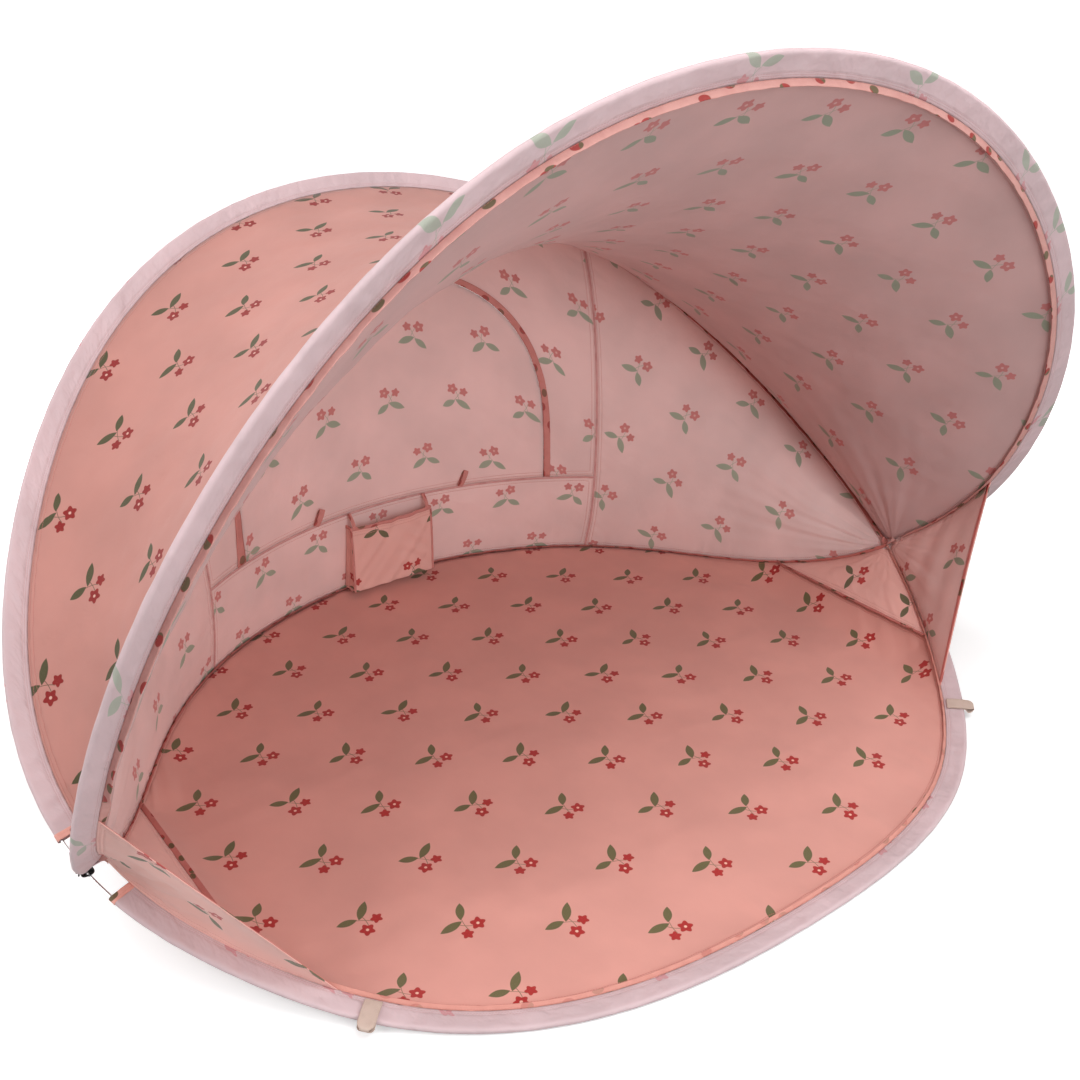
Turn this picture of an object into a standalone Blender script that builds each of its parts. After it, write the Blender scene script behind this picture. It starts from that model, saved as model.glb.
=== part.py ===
"""Pop-up beach tent: two crossing spring-wire hoops that stretch a canopy, a rear wall and a floor.

Metres, +Z up, the mouth of the tent faces -Y. The origin lies on the ground under the middle of the
line through the two crossings of the hoops.
"""
import math

import bmesh
import bpy
import numpy as np
from mathutils import Matrix, Vector
from mathutils.bvhtree import BVHTree

# Hoops, measured along the wire
HALF_SPAN = 0.700
CROSSING_HEIGHT = 0.106
REAR_ARCH_HEIGHT = 0.698
REAR_ARCH_LEAN = 0.647
HOOD_HEIGHT = 0.957
HOOD_REACH = 0.290
FRONT_REACH = 0.467
REAR_REACH = 0.602
WIRE_DIAMETER = 0.0035
WIRE_SPACING_AT_CROSSING = 0.0042

# Cloth
CLOTH_THICKNESS = 0.0008
SEAM_GAP = 0.0003
PANEL_SEAM_SETBACK = 0.0005
CORNER_SETBACK = 0.013
SLEEVE_WIDTH = 0.025
SLEEVE_EDGE_SPREAD = 0.00055
SLEEVE_BORE_ROOM = 0.0005
BINDING_HEIGHT = 0.010
BINDING_THICKNESS = 0.0016
BINDING_GAP = 0.0006

# Hoop joins and corner ties
FERRULE_DIAMETER = 0.0056
FERRULE_LENGTH = 0.012
FERRULE_BORE_GAP = 0.0004
SLIP_GAP = 0.0003
STUB_LENGTH = 0.0095
TIE_WIDTH = 0.006
TIE_WALL = 0.0016
TIE_SIDE_ROOM = 0.0018
TIE_ROOM = 0.0030

# Lengths of hoop left bare on each side of a crossing
REAR_ARCH_BARE = 0.044
FRONT_GROUND_BARE = 0.049
HOOD_BARE = 0.014
REAR_GROUND_BARE = 0.016
PANEL_BARE = 0.012

# Where the panels end, along the seam lines from a crossing
WING_HOOD_RUN = 0.236
WING_GROUND_RUN = 0.330
SIDE_SEAM_REAR_RUN = 0.215
SIDE_SEAM_FRONT_RUN = 0.214
WING_FOLD_DEPTH = 0.0035
WING_EDGE_SAG = 0.006
WING_BINDING_WIDTH = 0.007

# Rear window
SKIRT_HEIGHT = 0.160
WINDOW_HEIGHT = 0.385
WINDOW_LEG = 0.120
WINDOW_SQUARENESS = 2.5
WINDOW_GAP = 0.0010
PLACKET_WIDTH = 0.008
PLACKET_THICKNESS = 0.0012
ZIP_WIDTH = 0.0045
ZIP_THICKNESS = 0.0016
SLIDER_LENGTH = 0.011
SLIDER_WIDTH = 0.009
SLIDER_THICKNESS = 0.0030
PULL_LENGTH = 0.024
PULL_WIDTH = 0.005
PULL_THICKNESS = 0.0014
TIE_LOOP_WIDTH = 0.010
TIE_LOOP_LENGTH = 0.032
TIE_LOOP_DEPTH = 0.0095
TIE_LOOP_THICKNESS = 0.0012
TIE_LOOP_SPACING = 0.284
WALL_GAP = 0.0006

# Storage pocket on the skirt
POCKET_WIDTH = 0.160
POCKET_DROP = 0.026
POCKET_FLOOR_HEIGHT = 0.014
POCKET_DEPTH_TOP = 0.016
POCKET_DEPTH_FOOT = 0.036
POCKET_RIM_WIDTH = 0.007

# Peg tabs of folded webbing
TAB_WIDTH = 0.020
TAB_THICKNESS = 0.0012
TAB_REACH = 0.013
TAB_LOOP_ROOM = 0.0062
TAB_SEWN_LENGTH = 0.0030
TAB_ROOT_SETBACK = 0.0035

# Ground clearance under the floor panel, and how fast it comes down to the ground from its seams
FLOOR_DROP_RUN = 0.060

# Shares of a hoop's sizes at its guide points, from the top of the arch to the middle of the ground run
REAR_ARCH_SPAN_SHARES = (0.0, 0.375, 0.69, 0.915, 1.04)
REAR_ARCH_LEAN_SHARES = (1.0, 0.96, 0.80, 0.56, 0.29)
REAR_ARCH_RISE_SHARES = (1.0, 0.955, 0.757, 0.47, 0.175)
FRONT_SPAN_SHARES = (0.88, 0.705, 0.495, 0.255, 0.0)
FRONT_REACH_SHARES = (0.37, 0.685, 0.90, 0.99, 1.0)
FRONT_RISE_SHARES = (0.36, 0.0, 0.0, 0.0, 0.0)
HOOD_SPAN_SHARES = (0.0, 0.43, 0.77, 0.995, 1.065)
HOOD_REACH_SHARES = (1.0, 1.0, 0.99, 0.88, 0.565)
HOOD_RISE_SHARES = (1.0, 0.955, 0.759, 0.479, 0.182)
REAR_SPAN_SHARES = (0.88, 0.74, 0.545, 0.28, 0.0)
REAR_REACH_SHARES = (0.29, 0.593, 0.825, 0.967, 1.0)
REAR_RISE_SHARES = (0.145, 0.0, 0.0, 0.0, 0.0)

# Shares of the half span that place the wall's upright seams along their hoops, and the window's legs
WALL_SEAM_TOP_SHARE = 1.171
WALL_SEAM_FOOT_SHARE = 0.851
WINDOW_SPAN_SHARE = 0.414

# Shares of a size that round the small pieces, and of half a wave in the wing's folds
TIE_LOOP_ROUND_SHARE = 0.7
PULL_ROUND_SHARE = 0.45
WING_FOLD_SHARE = 0.75

# Shares that aim a sleeve's seam: of the arch's own top, towards which the sleeve points
REAR_ARCH_AIM_SHARE = 0.47
HOOD_AIM_SHARE = 0.70
GROUND_AIM_SHARE = 0.40

# Counts
SPAN_STEPS = 16
SIDE_SEAM_COLUMN = 4
WING_COLUMN = 6
FRONT_TAB_COLUMN = 7
REAR_TAB_COLUMN = 9
WALL_SEAM_COLUMN = 11
MIDDLE_COLUMN = 20
CANOPY_ROWS = 8
WALL_ROWS = 8
SKIRT_ROWS = 2
FLOOR_ROWS = 10
GUSSET_ROWS = 4
WING_ROWS = 10
WING_FOLDS = 3
WINDOW_STEPS = 20
WINDOW_LEG_STEPS = 3
POCKET_ROWS = 4
POCKET_COLUMNS = 3
RING_STEPS = 16
HOLE_STEPS = 10
CORNER_STEPS = 4
RELAX_ROUNDS = 600
LEAST_SINE = 0.5

WALL_SEAM_TOP_RUN = HALF_SPAN * WALL_SEAM_TOP_SHARE
WALL_SEAM_FOOT_RUN = HALF_SPAN * WALL_SEAM_FOOT_SHARE
WINDOW_HALF_WIDTH = HALF_SPAN * WINDOW_SPAN_SHARE
WIRE_RADIUS = WIRE_DIAMETER / 2
SLEEVE_BORE_RADIUS = FERRULE_DIAMETER / 2 + SLEEVE_BORE_ROOM
SLEEVE_MID_RADIUS = SLEEVE_BORE_RADIUS + CLOTH_THICKNESS / 2
GROUND_WIRE_HEIGHT = SLEEVE_BORE_RADIUS + CLOTH_THICKNESS

COLLECTION_NAME = "beach_tent"
CUTTER_COLLECTION_NAME = "cutters"


def clear_scene():
    """Empties the scene of its objects and collections."""
    for item in list(bpy.data.objects):
        bpy.data.objects.remove(item, do_unlink=True)
    for group in list(bpy.data.collections):
        bpy.data.collections.remove(group)


def make_collection(name):
    group = bpy.data.collections.new(name)
    bpy.context.scene.collection.children.link(group)
    return group


def make_material(name, colour, roughness, metallic=0.0):
    material = bpy.data.materials.new(name)
    material.use_nodes = True
    shader = material.node_tree.nodes["Principled BSDF"]
    shader.inputs["Base Color"].default_value = (*colour, 1.0)
    shader.inputs["Roughness"].default_value = roughness
    shader.inputs["Metallic"].default_value = metallic
    return material


def guide_points(spans, reaches, rises, reach, base, rise):
    """Guide points of one run of a hoop on its right side, from shares of the hoop's sizes."""
    points = []
    for span_share, reach_share, rise_share in zip(spans, reaches, rises):
        points.append((HALF_SPAN * span_share, reach * reach_share, base + rise * rise_share))
    return np.array(points)


def through(point, before, after):
    """The guide point that makes the curve pass through a point between two other guide points."""
    return (6.0 * point - before - after) / 4.0


def hoop(arch, ground, crossing):
    """Both halves of a closed hoop: arch and ground run, each from the right crossing to the left."""
    mirror = np.array([-1.0, 1.0, 1.0])
    arch[0] = through(arch[0], arch[1], arch[1] * mirror)
    ground[-1] = through(ground[-1], ground[-2], ground[-2] * mirror)
    middle = through(crossing, arch[-1], ground[0])
    right = np.concatenate([arch, [middle], ground])
    left = right[1:-1][::-1] * mirror
    guides = np.concatenate([right, left])
    steps = np.linspace(0.0, 1.0, SPAN_STEPS, endpoint=False)[:, None]
    count = len(guides)
    curve = []
    for index in range(count):
        near = [guides[(index + offset) % count] for offset in (-1, 0, 1, 2)]
        curve.append(
            (
                (1 - steps) ** 3 * near[0]
                + (3 * steps**3 - 6 * steps**2 + 4) * near[1]
                + (-3 * steps**3 + 3 * steps**2 + 3 * steps + 1) * near[2]
                + steps**3 * near[3]
            )
            / 6.0
        )
    curve = np.concatenate(curve)
    right_index = len(arch) * SPAN_STEPS
    left_index = len(curve) - right_index
    arch_run = np.concatenate([curve[: right_index + 1][::-1], curve[left_index:][::-1]])
    ground_run = curve[right_index : left_index + 1]
    return arch_run, ground_run


def run_length(curve):
    return float(np.linalg.norm(np.diff(curve, axis=0), axis=1).sum())


def along(curve, distances):
    """Points of a curve at distances from its start, the distances given in metres."""
    steps = np.linalg.norm(np.diff(curve, axis=0), axis=1)
    travelled = np.concatenate([[0.0], np.cumsum(steps)])
    return np.stack([np.interp(distances, travelled, curve[:, axis]) for axis in range(3)], 1)


def unit(vectors):
    return vectors / np.linalg.norm(vectors, axis=-1, keepdims=True)


def tangents(curve):
    return unit(np.gradient(curve, axis=0))


def inward(curve, target):
    """Directions square to the curve that point towards a target."""
    forward = tangents(curve)
    aim = target - curve
    aim = aim - (aim * forward).sum(1, keepdims=True) * forward
    return unit(aim)


def stretch(first, last, stations, width_step, height):
    """A membrane between two edges: every inner point settles among its neighbours."""
    rows = np.array(stations)[:, None, None]
    grid = first[None] * (1 - rows) + last[None] * rows
    gaps = np.diff(stations) * height
    upper = (2 / (gaps[:-1] * (gaps[:-1] + gaps[1:])))[:, None, None]
    lower = (2 / (gaps[1:] * (gaps[:-1] + gaps[1:])))[:, None, None]
    side = 1 / width_step**2
    for _ in range(RELAX_ROUNDS):
        pull = side * (grid[1:-1, :-2] + grid[1:-1, 2:])
        pull = pull + upper * grid[:-2, 1:-1] + lower * grid[2:, 1:-1]
        grid[1:-1, 1:-1] = pull / (2 * side + upper + lower)
    return grid


def lay_grid(name, points, material, group):
    """An open sheet: a grid primitive whose vertices are laid on rows of points."""
    rows, columns = points.shape[:2]
    mesh = bpy.data.meshes.new(name)
    sheet = bmesh.new()
    bmesh.ops.create_grid(sheet, x_segments=columns - 1, y_segments=rows - 1, size=1.0)
    for vertex in sheet.verts:
        column = round((vertex.co.x + 1) / 2 * (columns - 1))
        row = round((vertex.co.y + 1) / 2 * (rows - 1))
        vertex.co = Vector(points[row, column])
    bmesh.ops.triangulate(sheet, faces=sheet.faces, quad_method="FIXED")
    sheet.to_mesh(mesh)
    sheet.free()
    mesh.materials.append(material)
    item = bpy.data.objects.new(name, mesh)
    group.objects.link(item)
    return item


def thicken(item, thickness):
    shell = item.modifiers.new("thickness", "SOLIDIFY")
    shell.thickness = thickness
    shell.offset = 0.0
    shell.use_even_offset = True
    return item


def cloth_sheet(name, points, material, group, thickness=CLOTH_THICKNESS):
    return thicken(lay_grid(name, points, material, group), thickness)


def trim_rows(points, first, last):
    """Draws the first and last rows of a sheet back from its seams."""
    points = points.copy()
    points[0] += unit(points[1] - points[0]) * first
    points[-1] += unit(points[-2] - points[-1]) * last
    return points


def trim_columns(points, first, last):
    """Draws the first and last columns of a sheet back from its seams."""
    return trim_rows(points.transpose(1, 0, 2), first, last).transpose(1, 0, 2)


def clear_sleeve(points, steer):
    """The first row of a sheet, drawn off its seam square to it so that it clears the sleeve's edges."""
    forward = tangents(points[0])
    away = points[1] - points[0]
    away = unit(away - (away * forward).sum(1, keepdims=True) * forward)
    onward = (away * steer).sum(1, keepdims=True)
    square = np.maximum(np.sqrt(1 - onward**2), LEAST_SINE)
    clearance = SLEEVE_EDGE_SPREAD + CLOTH_THICKNESS + SEAM_GAP
    eased = clearance * (1 - onward**2) + SEAM_GAP * 2 * onward**2
    return points[0] + away * np.where(onward < 0, clearance / square, eased)


def trim_to_sleeves(points, first_steer, last_steer):
    """Draws a sheet back from the two sleeves that it is sewn into."""
    first = clear_sleeve(points, first_steer)
    last = clear_sleeve(points[::-1], last_steer)
    return np.concatenate([first[None], points[1:-1], last[None]])


def off_face(points, lift):
    """The same rows of points moved off the sheet's face, outward for a positive lift."""
    normal = unit(np.cross(np.gradient(points, axis=1), np.gradient(points, axis=0)))
    return points + normal * np.sign(normal[..., 1:2]) * lift


def wire_piece(name, curve, material, group):
    """A round wire along a run of points."""
    data = bpy.data.curves.new(name, "CURVE")
    data.dimensions = "3D"
    data.bevel_depth = WIRE_RADIUS
    data.bevel_resolution = 2
    data.use_fill_caps = True
    spline = data.splines.new("POLY")
    spline.points.add(len(curve) - 1)
    for point, place in zip(spline.points, curve):
        point.co = (*place, 1.0)
    data.materials.append(material)
    item = bpy.data.objects.new(name, data)
    group.objects.link(item)
    return item


def sleeve_piece(name, wire, aim, material, group):
    """A hem folded round the wire: open along its seam, where the panel is sewn in."""
    forward = tangents(wire)
    across = np.cross(forward, aim)
    diagonal = SLEEVE_MID_RADIUS * math.sqrt(0.5)
    section = (
        (SLEEVE_WIDTH, SLEEVE_EDGE_SPREAD),
        (0.0, SLEEVE_MID_RADIUS),
        (-diagonal, diagonal),
        (-SLEEVE_MID_RADIUS, 0.0),
        (-diagonal, -diagonal),
        (0.0, -SLEEVE_MID_RADIUS),
        (SLEEVE_WIDTH, -SLEEVE_EDGE_SPREAD),
    )
    rows = [wire + aim * reach + across * side for reach, side in section]
    return cloth_sheet(name, np.array(rows), material, group)


def binding_piece(name, seam, first, second, material, group):
    """A bound seam allowance that stands between the two sheets that leave a seam."""
    rise = unit(first + second)
    cosine = (rise * first).sum(1, keepdims=True)
    sine = np.sqrt(1 - cosine**2)
    setback = (BINDING_THICKNESS / 2 * cosine + CLOTH_THICKNESS / 2 + SLEEVE_EDGE_SPREAD + BINDING_GAP) / sine
    rows = np.array([seam + rise * setback, seam + rise * (setback + BINDING_HEIGHT)])
    return cloth_sheet(name, rows, material, group, BINDING_THICKNESS)


def outline_piece(name, loops, thickness, material, group):
    """A flat outline, its holes after it, extruded to a thickness about its own plane."""
    data = bpy.data.curves.new(name, "CURVE")
    data.dimensions = "2D"
    data.fill_mode = "BOTH"
    data.extrude = thickness / 2
    outer, *holes = loops
    for loop in (outer, *[hole[::-1] for hole in holes]):
        spline = data.splines.new("POLY")
        spline.use_cyclic_u = True
        spline.points.add(len(loop) - 1)
        for point, (x, y) in zip(spline.points, loop):
            point.co = (x, y, 0.0, 1.0)
    data.materials.append(material)
    item = bpy.data.objects.new(name, data)
    group.objects.link(item)
    return item


def slot_outline(half_width, half_height, radius):
    """A rectangle with round corners."""
    points = []
    for quarter, (sign_x, sign_y) in enumerate(((1, 1), (-1, 1), (-1, -1), (1, -1))):
        for step in range(CORNER_STEPS + 1):
            angle = (quarter + step / CORNER_STEPS) * math.pi / 2
            x = sign_x * (half_width - radius) + radius * math.cos(angle)
            y = sign_y * (half_height - radius) + radius * math.sin(angle)
            points.append((x, y))
    return points


def circle_outline(radius, steps=RING_STEPS):
    return [(radius * math.cos(k * math.tau / steps), radius * math.sin(k * math.tau / steps)) for k in range(steps)]


def band_outline(path, thickness):
    """The two outlines of a band of cloth that follows a closed path."""
    path = np.array(path)
    forward = unit(np.roll(path, -1, 0) - np.roll(path, 1, 0))
    outward = np.stack([forward[:, 1], -forward[:, 0]], 1) * thickness / 2
    return [tuple(point) for point in path + outward], [tuple(point) for point in path - outward]


class Hoops:
    """The four runs of hoop with their stations, seam lines and the directions of their sleeves."""

    def __init__(self):
        offset = WIRE_SPACING_AT_CROSSING / 2
        rise = REAR_ARCH_HEIGHT - CROSSING_HEIGHT
        arch = guide_points(
            REAR_ARCH_SPAN_SHARES, REAR_ARCH_LEAN_SHARES, REAR_ARCH_RISE_SHARES, REAR_ARCH_LEAN, CROSSING_HEIGHT, rise
        )
        arch[0] = (0.0, REAR_ARCH_LEAN, REAR_ARCH_HEIGHT)
        drop = CROSSING_HEIGHT - GROUND_WIRE_HEIGHT
        ground = guide_points(
            FRONT_SPAN_SHARES, FRONT_REACH_SHARES, FRONT_RISE_SHARES, -FRONT_REACH, GROUND_WIRE_HEIGHT, drop
        )
        crossing = np.array([HALF_SPAN + offset, 0.0, CROSSING_HEIGHT])
        self.rear_arch, self.front_ground = hoop(arch, ground, crossing)
        rise = HOOD_HEIGHT - CROSSING_HEIGHT
        arch = guide_points(
            HOOD_SPAN_SHARES, HOOD_REACH_SHARES, HOOD_RISE_SHARES, -HOOD_REACH, CROSSING_HEIGHT, rise
        )
        ground = guide_points(
            REAR_SPAN_SHARES, REAR_REACH_SHARES, REAR_RISE_SHARES, REAR_REACH, GROUND_WIRE_HEIGHT, drop
        )
        crossing = np.array([HALF_SPAN - offset, 0.0, CROSSING_HEIGHT])
        self.hood, self.rear_ground = hoop(arch, ground, crossing)
        columns = WALL_SEAM_COLUMN, MIDDLE_COLUMN
        self.rear_arch_stations = stations(
            self.rear_arch, (PANEL_BARE, REAR_ARCH_BARE, WALL_SEAM_TOP_RUN), columns
        )
        columns = SIDE_SEAM_COLUMN, WING_COLUMN, MIDDLE_COLUMN
        self.front_stations = stations(
            self.front_ground, (PANEL_BARE, FRONT_GROUND_BARE, SIDE_SEAM_FRONT_RUN, WING_GROUND_RUN), columns
        )
        self.hood_stations = stations(
            self.hood, (HOOD_BARE, PANEL_BARE + REAR_ARCH_BARE, WING_HOOD_RUN), (WING_COLUMN, MIDDLE_COLUMN)
        )
        columns = SIDE_SEAM_COLUMN, WALL_SEAM_COLUMN, MIDDLE_COLUMN
        self.rear_stations = stations(
            self.rear_ground,
            (REAR_GROUND_BARE, PANEL_BARE + REAR_ARCH_BARE, SIDE_SEAM_REAR_RUN, WALL_SEAM_FOOT_RUN),
            columns,
        )
        level = np.array([0.0, 0.0, CROSSING_HEIGHT])
        top = self.rear_arch[len(self.rear_arch) // 2]
        self.rear_arch_aim = level + (top - level) * REAR_ARCH_AIM_SHARE
        top = self.hood[len(self.hood) // 2]
        self.hood_aim = level + (top - level) * HOOD_AIM_SHARE
        self.front_aim = np.array([0.0, -FRONT_REACH * GROUND_AIM_SHARE, 0.0])
        self.rear_aim = np.array([0.0, REAR_REACH * GROUND_AIM_SHARE, 0.0])

    def lines(self, run, distances, aim):
        """Wire points, sleeve directions and seam points of a run at its stations."""
        fine = np.linspace(0.0, run_length(run), len(run))
        curve = along(run, fine)
        directions = inward(curve, aim)
        wire = along(run, distances)
        steer = unit(np.stack([np.interp(distances, fine, directions[:, k]) for k in range(3)], 1))
        return wire, steer, wire + steer * SLEEVE_WIDTH


def stations(run, marks, columns):
    """Distances along a run at its columns: marks on the right half, then their mirror on the left."""
    half = run_length(run) / 2
    places = [marks[0], marks[1]]
    counts = np.diff((1, *columns))
    for start, end, count in zip(marks[1:], (*marks[2:], half), counts):
        places.extend(np.linspace(start, end, count + 1)[1:])
    places = np.array(places)
    return np.concatenate([places, 2 * half - places[-2::-1]])


def even_rows(count):
    return np.linspace(0.0, 1.0, count + 1)


def membrane(first, last, rows):
    """A stretched sheet between two seam lines, with its grid spacing taken from its own size."""
    width_step = run_length(first) / (len(first) - 1)
    height = float(np.linalg.norm(last - first, axis=1).max())
    return stretch(first, last, even_rows(rows), width_step, height)


def wall_rows(grid, seam_height):
    """Resets the rows of the wall so that one of them is the level seam over the skirt."""
    seam_row = WALL_ROWS - SKIRT_ROWS
    columns = grid.shape[1]
    result = np.empty_like(grid)
    mark = grid[:, WALL_SEAM_COLUMN]
    side_share = (mark[0, 2] - seam_height) / (mark[0, 2] - mark[-1, 2])
    for column in range(columns):
        line = grid[:, column]
        top = line[0, 2]
        foot = line[-1, 2]
        share = side_share
        if WALL_SEAM_COLUMN <= column <= columns - 1 - WALL_SEAM_COLUMN:
            share = (top - seam_height) / (top - foot)
        upper = np.linspace(0.0, share, seam_row + 1)
        lower = np.linspace(share, 1.0, SKIRT_ROWS + 1)[1:]
        heights = top + (foot - top) * np.concatenate([upper, lower])
        for axis in range(2):
            result[:, column, axis] = np.interp(-heights, -line[:, 2], line[:, axis])
        result[:, column, 2] = heights
    return result


def floor_grid(front, rear):
    """The floor panel: raised to its seams at the edges, flat on the ground in the middle."""
    grid = membrane(front, rear, FLOOR_ROWS)
    edges = np.concatenate([front, rear, grid[:, 0], grid[:, -1]])
    rest = CLOTH_THICKNESS / 2
    for row in range(1, grid.shape[0] - 1):
        for column in range(1, grid.shape[1] - 1):
            point = grid[row, column]
            inset = float(np.linalg.norm(edges[:, :2] - point[:2], axis=1).min())
            share = max(0.0, 1.0 - inset / FLOOR_DROP_RUN) ** 2
            point[2] = rest + max(0.0, point[2] - rest) * share
    return grid


def wing_grid(hood_seam, ground_seam):
    """A side wing: stretched between two seams, drawn in along its free edge, with folds from its corner."""
    grid = membrane(hood_seam, ground_seam, WING_ROWS)
    rows, columns = grid.shape[:2]
    centre = grid[0, 0]
    for row in range(1, rows - 1):
        across = math.sin(math.pi * row / (rows - 1))
        for column in range(1, columns):
            share = column / (columns - 1)
            point = grid[row, column]
            inwards = unit(centre - point)
            grid[row, column] = point + inwards * WING_EDGE_SAG * across * share**2
    slope = np.cross(grid[-1, -1] - grid[0, 0], grid[0, -1] - grid[0, 0])
    normal = unit(slope)
    for row in range(1, rows - 1):
        wave = math.sin(math.tau * WING_FOLDS * row / (rows - 1))
        for column in range(1, columns):
            share = column / (columns - 1)
            grid[row, column] += normal * WING_FOLD_DEPTH * wave * math.sin(math.pi * share * WING_FOLD_SHARE)
    return grid


def mirrored(points):
    """The same rows of points on the left side."""
    return points[:, ::-1] * np.array([-1.0, 1.0, 1.0])


class Probe:
    """Finds points on a built sheet by looking at it along Y."""

    def __init__(self, item):
        self.tree = BVHTree.FromObject(item, bpy.context.evaluated_depsgraph_get())

    def touch(self, x, z, from_inside, lift):
        """The point over (x, z) that stands off the sheet by a lift, on its inner or outer face."""
        side = -1.0 if from_inside else 1.0
        start = Vector((x, side * (REAR_ARCH_LEAN + REAR_REACH), z))
        if from_inside:
            start.y = 0.0
        place, normal, _, _ = self.tree.ray_cast(start, Vector((0.0, -side, 0.0)))
        if normal.y * side < 0:
            normal = -normal
        return np.array(place + normal * lift)

    def frame(self, x, z, from_inside, lift, reach):
        """A frame on the sheet: its X along the width, its Y up the sheet and its Z off the face."""
        place = self.touch(x, z, from_inside, lift)
        up = Vector(self.touch(x, z + reach, from_inside, lift) - self.touch(x, z - reach, from_inside, lift))
        right = Vector(self.touch(x + reach, z, from_inside, lift) - self.touch(x - reach, z, from_inside, lift))
        up.normalize()
        if not from_inside:
            right.negate()
        right = (right - up * right.dot(up)).normalized()
        out = right.cross(up)
        return Matrix.Translation(Vector(place)) @ Matrix((right, up, out)).transposed().to_4x4()


def window_outline(inset, foot):
    """The window's outline from its right foot to its left foot, drawn in by an inset: legs and an arch."""
    half_width = WINDOW_HALF_WIDTH - inset
    rise = WINDOW_HEIGHT - WINDOW_LEG - inset
    spring = SKIRT_HEIGHT + WINDOW_LEG
    leg = [(half_width, foot + (spring - foot) * step / WINDOW_LEG_STEPS) for step in range(WINDOW_LEG_STEPS)]
    arch = []
    for step in range(WINDOW_STEPS + 1):
        angle = math.pi * step / WINDOW_STEPS
        cosine = math.cos(angle)
        x = math.copysign(abs(cosine) ** (2 / WINDOW_SQUARENESS), cosine) * half_width
        z = spring + max(0.0, math.sin(angle)) ** (2 / WINDOW_SQUARENESS) * rise
        arch.append((x, z))
    return [*leg, *arch, *[(-x, z) for x, z in leg[::-1]]]


def window_cutter(name, insets, group):
    """A prism through the wall and below its foot: the window's outline, or the band between two of them."""
    foot = SKIRT_HEIGHT - WINDOW_LEG / 2
    outline = window_outline(insets[0], foot)
    for inset in insets[1:]:
        outline = [*outline, *window_outline(inset, foot)[::-1]]
    cutter = outline_piece(name, [outline], REAR_ARCH_LEAN, None, group)
    cutter.rotation_euler = (math.pi / 2, 0.0, 0.0)
    cutter.location = (0.0, REAR_REACH, 0.0)
    bpy.context.view_layer.update()
    mesh = bpy.data.meshes.new_from_object(cutter.evaluated_get(bpy.context.evaluated_depsgraph_get()))
    solid = bmesh.new()
    solid.from_mesh(mesh)
    bmesh.ops.remove_doubles(solid, verts=solid.verts, dist=CLOTH_THICKNESS / 100)
    bmesh.ops.recalc_face_normals(solid, faces=solid.faces)
    solid.to_mesh(mesh)
    solid.free()
    block = bpy.data.objects.new(name, mesh)
    block.matrix_world = cutter.matrix_world.copy()
    group.objects.link(block)
    bpy.data.objects.remove(cutter)
    block.hide_render = True
    block.display_type = "WIRE"
    return block


def apply_boolean(item, cutter, operation):
    cut = item.modifiers.new("window", "BOOLEAN")
    cut.operation = operation
    cut.object = cutter
    cut.solver = "EXACT"


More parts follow.
